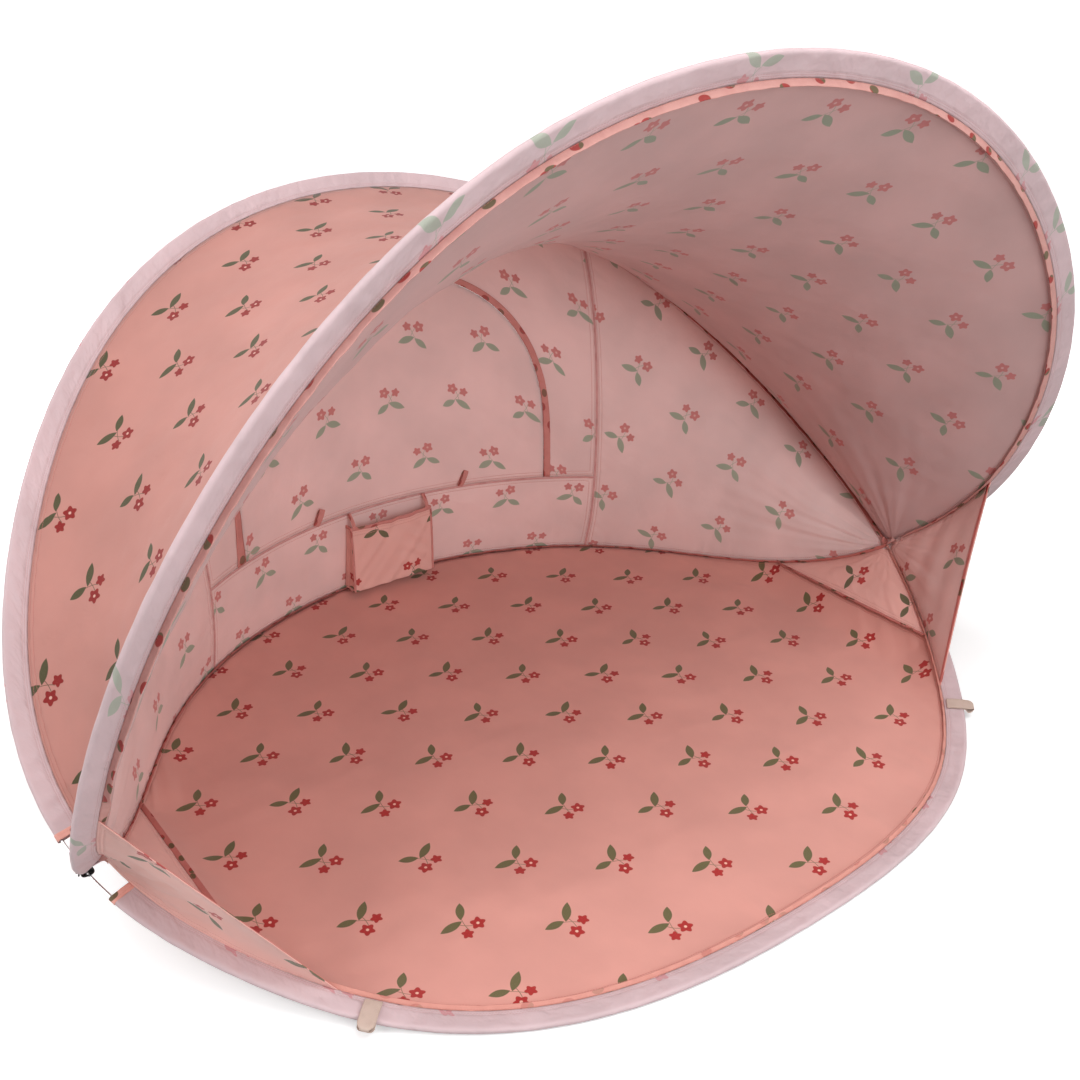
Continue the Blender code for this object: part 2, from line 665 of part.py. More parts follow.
class Tent:
    """Builds every piece of the tent into one collection."""

    def __init__(self):
        self.group = make_collection(COLLECTION_NAME)
        self.cutters = make_collection(CUTTER_COLLECTION_NAME)
        self.print_cloth = make_material("printed_cloth", (0.62, 0.33, 0.29), 0.85)
        self.sleeve_cloth = make_material("pale_sleeve_cloth", (0.70, 0.52, 0.52), 0.85)
        self.binding_tape = make_material("peach_binding_tape", (0.66, 0.28, 0.23), 0.8)
        self.placket_cloth = make_material("dark_placket_cloth", (0.42, 0.13, 0.11), 0.85)
        self.webbing = make_material("greige_webbing", (0.50, 0.38, 0.31), 0.9)
        self.steel = make_material("spring_steel", (0.62, 0.62, 0.62), 0.35, 1.0)
        self.black_tape = make_material("black_tape", (0.02, 0.02, 0.02), 0.8)
        self.zip_plastic = make_material("zip_plastic", (0.55, 0.28, 0.25), 0.5)
        self.hoops = Hoops()

    def build(self):
        self.seams()
        self.wires()
        self.sleeves()
        self.canopy_and_wall()
        self.floor_and_gussets()
        self.wings()
        self.bindings()
        self.window()
        self.pocket()
        self.peg_tabs()
        self.corner_ties()

    def seams(self):
        """Wire points, sleeve directions and seam points of each run."""
        h = self.hoops
        self.rear_arch = h.lines(h.rear_arch, h.rear_arch_stations, h.rear_arch_aim)
        self.hood = h.lines(h.hood, h.hood_stations, h.hood_aim)
        self.front = h.lines(h.front_ground, h.front_stations, h.front_aim)
        self.rear = h.lines(h.rear_ground, h.rear_stations, h.rear_aim)

    def wires(self):
        """Both hoops. The rear runs carry on through the crossings as short stubs."""
        h = self.hoops
        stub = STUB_LENGTH
        start = STUB_LENGTH + SLIP_GAP
        runs = (
            ("rear_arch_wire", h.rear_arch, h.rear_arch_stations, h.front_ground, stub),
            ("rear_ground_wire", h.rear_ground, h.rear_stations, h.hood, stub),
            ("front_ground_wire", h.front_ground, h.front_stations, None, start),
            ("hood_wire", h.hood, h.hood_stations, None, start),
        )
        for name, run, distances, beyond, end in runs:
            length = run_length(run)
            inner = along(run, distances)
            if beyond is None:
                ends = along(run, np.array([end, length - end]))
                curve = np.concatenate([ends[:1], inner, ends[1:]])
            else:
                reach = run_length(beyond)
                tips = along(beyond, np.array([end, reach - end]))
                corners = along(run, np.array([0.0, length]))
                curve = np.concatenate([tips[:1], corners[:1], inner, corners[1:], tips[1:]])
            wire_piece(name, curve, self.steel, self.group)
        for name, run in (("front_hoop_ferrule", h.front_ground), ("rear_hoop_ferrule", h.rear_ground)):
            loops = [circle_outline(FERRULE_DIAMETER / 2), circle_outline(WIRE_RADIUS + FERRULE_BORE_GAP)]
            ferrule = outline_piece(name, loops, FERRULE_LENGTH, self.steel, self.group)
            ferrule.rotation_euler = (0.0, math.pi / 2, 0.0)
            ferrule.location = Vector(run[len(run) // 2])

    def sleeves(self):
        """The four hems: the rear arch's and the front ground run's stop short of the crossings."""
        for name, (wire, steer, _), first in (
            ("rear_arch_sleeve", self.rear_arch, 1),
            ("hood_sleeve", self.hood, 0),
            ("front_ground_sleeve", self.front, 1),
            ("rear_ground_sleeve", self.rear, 0),
        ):
            last = len(wire) - first
            sleeve_piece(name, wire[first:last], steer[first:last], self.sleeve_cloth, self.group)

    def canopy_and_wall(self):
        hood_seam = self.hood[2]
        arch_seam = self.rear_arch[2]
        foot_seam = self.rear[2]
        self.canopy_grid = membrane(hood_seam, arch_seam, CANOPY_ROWS)
        canopy = trim_to_sleeves(self.canopy_grid, self.hood[1], self.rear_arch[1])
        canopy = trim_columns(canopy, CORNER_SETBACK, CORNER_SETBACK)
        cloth_sheet("canopy", canopy, self.print_cloth, self.group)
        self.wall_grid = wall_rows(membrane(arch_seam, foot_seam, WALL_ROWS), SKIRT_HEIGHT)
        wall = trim_to_sleeves(self.wall_grid, self.rear_arch[1], self.rear[1])
        seam_row = WALL_ROWS - SKIRT_ROWS
        last = wall.shape[1] - 1
        side = trim_columns(wall[:, : WALL_SEAM_COLUMN + 1], CORNER_SETBACK, PANEL_SEAM_SETBACK)
        cloth_sheet("rear_wall_right", side, self.print_cloth, self.group)
        cloth_sheet("rear_wall_left", mirrored(side), self.print_cloth, self.group)
        middle = wall[:, WALL_SEAM_COLUMN : last - WALL_SEAM_COLUMN + 1]
        middle = trim_columns(middle, PANEL_SEAM_SETBACK, PANEL_SEAM_SETBACK)
        upper = trim_rows(middle[: seam_row + 1], 0.0, PANEL_SEAM_SETBACK)
        lower = trim_rows(middle[seam_row:], PANEL_SEAM_SETBACK, 0.0)
        self.upper_rows = upper
        self.upper_sheet = cloth_sheet("rear_wall_upper", upper, self.print_cloth, self.group)
        self.flap_sheet = cloth_sheet("window_flap", upper, self.print_cloth, self.group)
        self.skirt_sheet = cloth_sheet("rear_wall_skirt", lower, self.print_cloth, self.group)

    def floor_and_gussets(self):
        front = self.front[2]
        rear = self.rear[2]
        last = len(front) - SIDE_SEAM_COLUMN
        grid = floor_grid(front[SIDE_SEAM_COLUMN:last], rear[SIDE_SEAM_COLUMN:last])
        grid = trim_to_sleeves(grid, self.front[1][SIDE_SEAM_COLUMN:last], self.rear[1][SIDE_SEAM_COLUMN:last])
        grid = trim_columns(grid, PANEL_SEAM_SETBACK, PANEL_SEAM_SETBACK)
        cloth_sheet("floor", grid, self.print_cloth, self.group)
        edge = SIDE_SEAM_COLUMN + 1
        gusset = membrane(front[:edge], rear[:edge], GUSSET_ROWS)
        gusset = trim_to_sleeves(gusset, self.front[1][:edge], self.rear[1][:edge])
        gusset = trim_columns(gusset, CORNER_SETBACK, PANEL_SEAM_SETBACK)
        cloth_sheet("gusset_right", gusset, self.print_cloth, self.group)
        cloth_sheet("gusset_left", mirrored(gusset), self.print_cloth, self.group)

    def wings(self):
        """Side wings between the hood and the front ground run, with their bound free edges."""
        edge = WING_COLUMN + 1
        grid = wing_grid(self.hood[2][:edge], self.front[2][:edge])
        self.wing_grid = grid
        trimmed = trim_to_sleeves(grid, self.hood[1][:edge], self.front[1][:edge])
        trimmed = trim_columns(trimmed, CORNER_SETBACK, 0.0)
        outer = trimmed[:, -1].copy()
        inward_way = unit(trimmed[:, -2] - outer)
        inner = outer + inward_way * WING_BINDING_WIDTH
        tape = np.array([inner, outer])
        trimmed[:, -1] = inner + inward_way * SEAM_GAP
        cloth_sheet("wing_right", trimmed, self.print_cloth, self.group)
        cloth_sheet("wing_left", mirrored(trimmed), self.print_cloth, self.group)
        for name, points in (("wing_binding_right", tape), ("wing_binding_left", tape * [-1.0, 1.0, 1.0])):
            cloth_sheet(name, points, self.binding_tape, self.group, BINDING_THICKNESS)

    def bindings(self):
        """Bound seam allowances that stand inside the tent along each seam."""
        hood_seam = self.hood[2]
        arch_seam = self.rear_arch[2]
        front_seam = self.front[2]
        rear_seam = self.rear[2]
        edge = WING_COLUMN + 1
        last = len(hood_seam)
        canopy_from_hood = unit(self.canopy_grid[1] - self.canopy_grid[0])
        canopy_from_arch = unit(self.canopy_grid[-2] - self.canopy_grid[-1])
        wall_down = unit(self.wall_grid[1] - self.wall_grid[0])
        wall_up = unit(self.wall_grid[-2] - self.wall_grid[-1])
        inner = np.cross(tangents(hood_seam), canopy_from_hood)
        inner = unit(inner) * np.sign((inner * -hood_seam).sum(1, keepdims=True))
        hood_partner = unit(inner - self.hood[1])
        front_partner = np.tile((0.0, 0.0, 1.0), (last, 1))
        from_hood = unit(self.wing_grid[1] - self.wing_grid[0])
        from_front = unit(self.wing_grid[-2] - self.wing_grid[-1])
        mirror = np.array([-1.0, 1.0, 1.0])
        hood_partner[:edge] = from_hood
        hood_partner[last - edge :] = from_hood[::-1] * mirror
        front_partner[:edge] = from_front
        front_partner[last - edge :] = from_front[::-1] * mirror
        for name, seam, first, second in (
            ("hood_seam_binding", hood_seam, canopy_from_hood, hood_partner),
            ("rear_arch_seam_binding", arch_seam, canopy_from_arch, wall_down),
            ("rear_ground_seam_binding", rear_seam, wall_up, self.rear[1]),
            ("front_ground_seam_binding", front_seam, self.front[1], front_partner),
        ):
            binding_piece(name, seam[2:-2], first[2:-2], second[2:-2], self.binding_tape, self.group)

    def window(self):
        """The zipped flap: cut from the wall panel, with its placket, zip, slider and two tie loops."""
        hole = window_cutter("window_hole", (0.0,), self.cutters)
        blank = window_cutter("window_blank", (WINDOW_GAP,), self.cutters)
        solid_wall = Probe(self.upper_sheet)
        apply_boolean(self.upper_sheet, hole, "DIFFERENCE")
        apply_boolean(self.flap_sheet, blank, "INTERSECT")
        inner_edge = WINDOW_GAP + SEAM_GAP
        zip_insets = (inner_edge + ZIP_WIDTH, inner_edge)
        for name, insets, side, thickness, material in (
            ("window_placket", (-SEAM_GAP, -PLACKET_WIDTH), -1.0, PLACKET_THICKNESS, self.placket_cloth),
            ("window_zip_wall_tape", (-SEAM_GAP, -ZIP_WIDTH), 1.0, ZIP_THICKNESS, self.zip_plastic),
            ("window_zip_flap_tape", zip_insets, 1.0, ZIP_THICKNESS, self.zip_plastic),
        ):
            lift = CLOTH_THICKNESS / 2 + SEAM_GAP + thickness / 2
            rows = off_face(self.upper_rows, side * lift)
            band = cloth_sheet(name, rows, material, self.group, thickness)
            apply_boolean(band, window_cutter(f"{name}_shape", insets, self.cutters), "INTERSECT")
        self.slider(solid_wall)
        self.tie_loops(solid_wall)

    def slider(self, wall):
        """The zip's slider and pull, parked at the foot of the right leg on the outer face."""
        z = SKIRT_HEIGHT + PLACKET_WIDTH + SLIDER_LENGTH
        rise = WALL_GAP + SEAM_GAP + ZIP_THICKNESS + SLIDER_THICKNESS / 2
        frame = wall.frame(WINDOW_HALF_WIDTH, z, False, rise, SLIDER_LENGTH)
        body = slot_outline(SLIDER_WIDTH / 2, SLIDER_LENGTH / 2, SLIDER_WIDTH / 3)
        slider = outline_piece("zip_slider", [body], SLIDER_THICKNESS, self.steel, self.group)
        slider.matrix_world = frame
        tab = slot_outline(PULL_WIDTH / 2, PULL_LENGTH / 2, PULL_WIDTH * PULL_ROUND_SHARE)
        centre = PULL_WIDTH / 2 - PULL_LENGTH / 2
        hole = [(x, y + centre) for x, y in circle_outline(PULL_WIDTH / 4, HOLE_STEPS)]
        pull = outline_piece("zip_pull", [tab, hole], PULL_THICKNESS, self.steel, self.group)
        lift = SLIDER_THICKNESS / 2 + PULL_THICKNESS / 2 + SEAM_GAP
        drop = (PULL_LENGTH - SLIDER_LENGTH) / 2
        pull.matrix_world = frame @ Matrix.Translation((0.0, -drop, lift))

    def tie_loops(self, wall):
        """Two loops that hold the rolled flap, sewn in at its foot on the inside."""
        half_depth = TIE_LOOP_DEPTH / 2
        half_length = TIE_LOOP_LENGTH / 2
        z = SKIRT_HEIGHT + TIE_LOOP_THICKNESS + half_length
        path = slot_outline(
            half_length - TIE_LOOP_THICKNESS / 2, half_depth - TIE_LOOP_THICKNESS / 2, half_depth * TIE_LOOP_ROUND_SHARE
        )
        for name, side in (("flap_tie_loop_right", 1.0), ("flap_tie_loop_left", -1.0)):
            x = side * TIE_LOOP_SPACING / 2
            frame = wall.frame(x, z, True, WALL_GAP + half_depth, half_length)
            loop = outline_piece(
                name, band_outline(path, TIE_LOOP_THICKNESS), TIE_LOOP_WIDTH, self.webbing, self.group
            )
            loop.matrix_world = frame @ Matrix(((0, 0, 1, 0), (1, 0, 0, 0), (0, 1, 0, 0), (0, 0, 0, 1)))

    def pocket(self):
        """A bellows pocket on the skirt: a front, two side gussets and a bottom, open at the top."""
        wall = Probe(self.skirt_sheet)
        half = POCKET_WIDTH / 2
        rim = SKIRT_HEIGHT - POCKET_DROP
        lift = WALL_GAP + CLOTH_THICKNESS / 2
        rows = []
        for drop in even_rows(POCKET_ROWS):
            height = rim + (POCKET_FLOOR_HEIGHT - rim) * drop
            depth = POCKET_DEPTH_TOP + (POCKET_DEPTH_FOOT - POCKET_DEPTH_TOP) * drop
            right = wall.touch(half, height, True, lift)
            left = wall.touch(-half, height, True, lift)
            out = np.array([0.0, -depth, 0.0])
            front = [right + out + (left - right) * share for share in even_rows(POCKET_COLUMNS)]
            rows.append([right, right + out / 2, *front, left + out / 2, left])
        rows = np.array(rows)
        pocket = lay_grid("storage_pocket", rows, self.print_cloth, self.group)
        shell = bmesh.new()
        shell.from_mesh(pocket.data)
        foot_edges = [edge for edge in shell.edges if edge.is_boundary and self.at_foot(edge)]
        bmesh.ops.contextual_create(shell, geom=foot_edges)
        bmesh.ops.recalc_face_normals(shell, faces=shell.faces)
        shell.to_mesh(pocket.data)
        shell.free()
        thicken(pocket, CLOTH_THICKNESS)
        rise = np.array([0.0, 0.0, 1.0])
        start = rows[0] + rise * SEAM_GAP
        band = np.array([start, start + rise * POCKET_RIM_WIDTH])
        cloth_sheet("pocket_rim_binding", band, self.binding_tape, self.group, BINDING_THICKNESS)

    @staticmethod
    def at_foot(edge):
        return all(abs(vertex.co.z - POCKET_FLOOR_HEIGHT) < SEAM_GAP for vertex in edge.verts)

    def peg_tabs(self):
        """Folded webbing loops sewn in at the ground seams, for the pegs."""
        for place, (wire, steer, seam), column in (
            ("front", self.front, FRONT_TAB_COLUMN),
            ("rear", self.rear, REAR_TAB_COLUMN),
        ):
            for side, index in (("right", column), ("left", len(wire) - 1 - column)):
                forward = Vector(wire[index + 1] - wire[index - 1]).normalized()
                outward = Vector(-steer[index])
                outward = (outward - forward * outward.dot(forward)).normalized()
                up = forward.cross(outward)
                if up.z < 0:
                    up.negate()
                self.peg_tab(f"peg_tab_{place}_{side}", Vector(seam[index]), outward, up)

    def peg_tab(self, name, seam, outward, up):
        """One tab: two layers over the sleeve, sewn together at the seam, a loop beyond the sleeve."""
        crest = SLEEVE_MID_RADIUS + CLOTH_THICKNESS / 2 + WALL_GAP + TAB_THICKNESS / 2
        base = SLEEVE_EDGE_SPREAD + CLOTH_THICKNESS / 2 + WALL_GAP + TAB_THICKNESS / 2
        root = base + (crest - base) * TAB_ROOT_SETBACK / SLEEVE_WIDTH
        side = SLEEVE_WIDTH + SLEEVE_MID_RADIUS + CLOTH_THICKNESS
        layer = TAB_THICKNESS + SEAM_GAP
        end = side + TAB_REACH
        low = crest - TAB_LOOP_ROOM
        path = (
            (TAB_ROOT_SETBACK, root),
            (SLEEVE_WIDTH, crest),
            (side + TAB_THICKNESS, crest - TAB_LOOP_ROOM / 2 + TAB_THICKNESS),
            (side + TAB_REACH / 3, low),
            (end - TAB_REACH / 3, low),
            (end, low + TAB_LOOP_ROOM / 3),
            (end, crest),
            (end - TAB_REACH / 3, crest + layer),
            (side, crest + layer),
            (SLEEVE_WIDTH, crest + layer),
            (TAB_ROOT_SETBACK, root + layer),
        )
        outer, inner = band_outline(path, TAB_THICKNESS)
        for index in (0, -1):
            inner[index] = (inner[index][0] + TAB_SEWN_LENGTH, inner[index][1])
        tab = outline_piece(name, (outer, inner), TAB_WIDTH, self.webbing, self.group)
        frame = Matrix((outward, up, outward.cross(up))).transposed().to_4x4()
        tab.matrix_world = Matrix.Translation(seam) @ frame

    def corner_ties(self):
        """Bands that lash the two hoops together where they cross."""
        across = WIRE_SPACING_AT_CROSSING / 2 + WIRE_RADIUS + TIE_SIDE_ROOM
        upright = WIRE_RADIUS + TIE_ROOM
        for name, side in (("corner_tie_right", 1.0), ("corner_tie_left", -1.0)):
            loops = [
                slot_outline(across + TIE_WALL, upright + TIE_WALL, upright),
                slot_outline(across, upright, WIRE_RADIUS),
            ]
            tie = outline_piece(name, loops, TIE_WIDTH, self.black_tape, self.group)
            tie.rotation_euler = (math.pi / 2, 0.0, 0.0)
            tie.location = (side * HALF_SPAN, 0.0, CROSSING_HEIGHT)


def main():
    clear_scene()
    Tent().build()


main()
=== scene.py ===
"""Looks of a pop-up beach tent: printed cloth, hems round spring wires, bound seams and small trim."""
import logging
import math
from dataclasses import dataclass
from enum import Enum

import bmesh
import bpy
import numpy as np
from mathutils import Matrix, Vector
from mathutils.bvhtree import BVHTree


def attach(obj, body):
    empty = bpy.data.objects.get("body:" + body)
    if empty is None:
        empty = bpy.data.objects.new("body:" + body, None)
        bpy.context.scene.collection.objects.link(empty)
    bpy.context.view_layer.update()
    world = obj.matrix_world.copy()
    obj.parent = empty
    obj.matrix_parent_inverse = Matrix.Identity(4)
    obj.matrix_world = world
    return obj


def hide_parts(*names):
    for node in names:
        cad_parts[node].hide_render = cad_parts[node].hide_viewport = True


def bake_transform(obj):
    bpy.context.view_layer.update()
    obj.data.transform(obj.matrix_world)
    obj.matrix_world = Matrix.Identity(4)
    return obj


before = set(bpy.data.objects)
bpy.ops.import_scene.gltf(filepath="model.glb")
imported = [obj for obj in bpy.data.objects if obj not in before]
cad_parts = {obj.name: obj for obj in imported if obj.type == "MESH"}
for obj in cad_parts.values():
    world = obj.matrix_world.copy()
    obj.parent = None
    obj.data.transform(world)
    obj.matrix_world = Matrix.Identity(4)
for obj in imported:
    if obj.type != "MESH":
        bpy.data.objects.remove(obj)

log = logging.getLogger("beach_tent")
Array = np.ndarray
Item = bpy.types.Object
Material = bpy.types.Material
MIRROR = np.array([-1.0, 1.0, 1.0])
UPWARD = (0.0, 0.0, 1.0)


class Body(str, Enum):
    """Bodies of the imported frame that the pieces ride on."""

    REAR = "rear_frame"
    FRONT = "front_frame"
    FLAP = "window_flap"
    TAB_FRONT_RIGHT = "peg_tab_front_right"
    TAB_FRONT_LEFT = "peg_tab_front_left"
    TAB_REAR_RIGHT = "peg_tab_rear_right"
    TAB_REAR_LEFT = "peg_tab_rear_left"


class Slot(str, Enum):
    """Material slots of the record."""

    PRINT = "printed_cloth"
    SLEEVE = "pale_sleeve_cloth"
    BINDING = "peach_binding_tape"
    PLACKET = "dark_placket_cloth"
    WEBBING = "greige_webbing"
    BLACK = "black_tape"
    ZIP = "zip_plastic"
    STEEL = "spring_steel"


@dataclass(frozen=True)
class HoopSizes:
    """Main sizes of the two hoops, in metres, and the shares of them at the guide points."""

    half_span: float = 0.700
    crossing_height: float = 0.106
    rear_arch_height: float = 0.698
    rear_arch_lean: float = 0.647
    hood_height: float = 0.957
    hood_reach: float = 0.290
    front_reach: float = 0.467
    rear_reach: float = 0.602
    wire_radius: float = 0.00175
    crossing_spacing: float = 0.0042
    ground_wire_height: float = 0.0041
    arch_spans: tuple = (0.0, 0.375, 0.69, 0.915, 1.04)
    arch_leans: tuple = (1.0, 0.96, 0.80, 0.56, 0.29)
    arch_rises: tuple = (1.0, 0.955, 0.757, 0.47, 0.175)
    front_spans: tuple = (0.88, 0.705, 0.495, 0.255, 0.0)
    front_reaches: tuple = (0.37, 0.685, 0.90, 0.99, 1.0)
    front_rises: tuple = (0.36, 0.0, 0.0, 0.0, 0.0)
    hood_spans: tuple = (0.0, 0.43, 0.77, 0.995, 1.065)
    hood_reaches: tuple = (1.0, 1.0, 0.99, 0.88, 0.565)
    hood_rises: tuple = (1.0, 0.955, 0.759, 0.479, 0.182)
    rear_spans: tuple = (0.88, 0.74, 0.545, 0.28, 0.0)
    rear_reaches: tuple = (0.29, 0.593, 0.825, 0.967, 1.0)
    rear_rises: tuple = (0.145, 0.0, 0.0, 0.0, 0.0)
    arch_aim_share: float = 0.47
    hood_aim_share: float = 0.70
    ground_aim_share: float = 0.40
    steps: int = 64


@dataclass(frozen=True)
class PanelSizes:
    """Where panels, sleeves and seams lie along the hoops, in metres."""

    thickness: float = 0.0006
    sleeve_width: float = 0.025
    panel_bare: float = 0.012
    rear_arch_bare: float = 0.044
    front_ground_bare: float = 0.049
    hood_bare: float = 0.014
    rear_ground_bare: float = 0.016
    wing_hood_run: float = 0.236
    wing_ground_run: float = 0.330
    side_seam_rear_run: float = 0.215
    side_seam_front_run: float = 0.214
    wall_seam_top_share: float = 1.171
    wall_seam_foot_share: float = 0.851
    skirt_height: float = 0.160
    floor_drop_run: float = 0.060
    wing_edge_sag: float = 0.006


@dataclass(frozen=True)
class Columns:
    """Columns of the coarse grids that all panels share, and how finely each step is divided."""

    side_seam: int = 4
    wing: int = 6
    front_tab: int = 7
    rear_tab: int = 9
    wall_seam: int = 11
    middle: int = 20
    fine: int = 8
    canopy_rows: int = 8
    wall_rows: int = 8
    skirt_rows: int = 2
    floor_rows: int = 10
    gusset_rows: int = 4
    wing_rows: int = 10
    panel_fine: int = 12
    floor_fine: int = 11
    gusset_fine: int = 20
    wing_fine: int = 10


@dataclass(frozen=True)
class WindowSizes:
    """The zipped window of the rear wall, in metres."""

    half_width: float = 0.2898
    height: float = 0.385
    leg: float = 0.120
    squareness: float = 2.5


HOOPS = HoopSizes()
PANELS = PanelSizes()
COLUMNS = Columns()
WINDOW = WindowSizes()
LEVEL = np.array([0.0, 0.0, HOOPS.crossing_height])
FLOOR_TURN = ((0.0, 0.03, 0.0), (0.0, -0.05, 0.0))
FLAP_TURN = ((0.0, 0.45, 0.1605), (0.0, 0.45, 0.235))


def unit(vectors: Array) -> Array:
    """Vectors at length one."""
    return vectors / np.maximum(np.linalg.norm(vectors, axis=-1, keepdims=True), 1e-12)


def travel(curve: Array) -> Array:
    """Distances along a polyline at its points."""
    return np.concatenate([[0.0], np.cumsum(np.linalg.norm(np.diff(curve, axis=0), axis=1))])


def run_length(curve: Array) -> float:
    """Length of a polyline in metres."""
    return float(np.linalg.norm(np.diff(curve, axis=0), axis=1).sum())


def along(curve: Array, distances: Array) -> Array:
    """Points of a polyline at distances from its start."""
    travelled = travel(curve)
    return np.stack([np.interp(distances, travelled, values) for values in curve.T], 1)


def pick(rows: Array, places: Array) -> Array:
    """Rows of an array at places between its indices."""
    index = np.arange(len(rows))
    return np.stack([np.interp(places, index, values) for values in rows.T], 1)


def tangents(curve: Array) -> Array:
    """Unit directions along a polyline."""
    return unit(np.gradient(curve, axis=0))


def through(point: Array, before: Array, after: Array) -> Array:
    """The guide point that makes the curve pass through a point between two other guide points."""
    return (6.0 * point - before - after) / 4.0


def hoop(arch: Array, ground: Array, crossing: Array) -> tuple[Array, Array]:
    """Both runs of a closed hoop, each from the right crossing to the left.

    Args:
        arch: guide points of the arch from its top down, its first one the curve's own top.
        ground: guide points of the ground run from the crossing to its middle.
        crossing: the point that both runs share.

    Returns:
        The arch run and the ground run as fine polylines.
    """
    arch[0] = through(arch[0], arch[1], arch[1] * MIRROR)
    ground[-1] = through(ground[-1], ground[-2], ground[-2] * MIRROR)
    middle = through(crossing, arch[-1], ground[0])
    right = np.concatenate([arch, [middle], ground])
    guides = np.concatenate([right, right[1:-1][::-1] * MIRROR])
    t = np.linspace(0.0, 1.0, HOOPS.steps, endpoint=False)[:, None]
    weights = ((1 - t) ** 3, 3 * t**3 - 6 * t**2 + 4, -3 * t**3 + 3 * t**2 + 3 * t + 1, t**3)
    curve = []
    for index in range(len(guides)):
        near = [guides[(index + offset) % len(guides)] for offset in (-1, 0, 1, 2)]
        curve.append(sum(w * p for w, p in zip(weights, near)) / 6.0)
    curve = np.concatenate(curve)
    first = len(arch) * HOOPS.steps
    last = len(curve) - first
    return np.concatenate([curve[: first + 1][::-1], curve[last:][::-1]]), curve[first : last + 1]


def stations(run: Array, marks: tuple, columns: tuple) -> Array:
    """Places of the coarse columns of a run.

    Args:
        run: the run as a fine polyline.
        marks: distances of the marked columns on its right half.
        columns: the numbers of the marked columns past the second.

    Returns:
        Distances along the run: marks on the right half, then their mirror.
    """
    half = run_length(run) / 2
    places = [marks[0], marks[1]]
    for start, end, count in zip(marks[1:], (*marks[2:], half), np.diff((1, *columns))):
        places.extend(np.linspace(start, end, count + 1)[1:])
    places = np.array(places)
    return np.concatenate([places, 2 * half - places[-2::-1]])


def relax(first: Array, last: Array, rows: int) -> Array:
    """A stretched sheet between two seam lines: every inner point settles among its neighbours.

    Args:
        first: the seam line of its first row.
        last: the seam line of its last row.
        rows: how many steps lie between them.

    Returns:
        Rows of points.
    """
    shares = np.linspace(0.0, 1.0, rows + 1)
    height = float(np.linalg.norm(last - first, axis=1).max())
    grid = first[None] * (1 - shares[:, None, None]) + last[None] * shares[:, None, None]
    gaps = np.diff(shares) * height
    upper = (2 / (gaps[:-1] * (gaps[:-1] + gaps[1:])))[:, None, None]
    lower = (2 / (gaps[1:] * (gaps[:-1] + gaps[1:])))[:, None, None]
    side = 1 / (run_length(first) / (len(first) - 1)) ** 2
    for _ in range(600):
        pull = side * (grid[1:-1, :-2] + grid[1:-1, 2:]) + upper * grid[:-2, 1:-1] + lower * grid[2:, 1:-1]
        grid[1:-1, 1:-1] = pull / (2 * side + upper + lower)
    return grid


def smooth_rows(grid: Array, factor: int) -> Array:
    """Divides the steps between rows with a cubic through the rows (Catmull-Rom).

    Args:
        grid: rows of points or of numbers.
        factor: how many steps each step becomes.

    Returns:
        The finer rows.
    """
    count = len(grid)
    places = np.linspace(0.0, count - 1.0, (count - 1) * factor + 1)
    index = np.minimum(places.astype(int), count - 2)
    t = (places - index).reshape(-1, *([1] * (grid.ndim - 1)))
    padded = np.concatenate([2 * grid[:1] - grid[1:2], grid, 2 * grid[-1:] - grid[-2:-1]])
    p0, p1, p2, p3 = (padded[index + k] for k in range(4))
    return 0.5 * (2 * p1 + (p2 - p0) * t + (2 * p0 - 5 * p1 + 4 * p2 - p3) * t**2 + (3 * p1 - p0 - 3 * p2 + p3) * t**3)


def refine(grid: Array, row_factor: int) -> Array:
    """Divides the steps between rows by a factor, and those between columns as finely as all panels."""
    fine = smooth_rows(grid, row_factor)
    return smooth_rows(fine.transpose(1, 0, 2), COLUMNS.fine).transpose(1, 0, 2)


def pin_rows(grid: Array, first: Array, last: Array) -> Array:
    """Moves the first and last rows onto exact seam lines and spreads the correction over the rows between."""
    share = np.linspace(0.0, 1.0, len(grid))[:, None, None]
    return grid + (first - grid[0])[None] * (1 - share) ** 2 + (last - grid[-1])[None] * share**2


def mirrored(points: Array) -> Array:
    """The same rows of points on the left side."""
    return points[:, ::-1] * MIRROR


def normals(grid: Array) -> Array:
    """Unit normals of a grid of points: the column direction crossed with the row direction."""
    return unit(np.cross(np.gradient(grid, axis=1), np.gradient(grid, axis=0)))


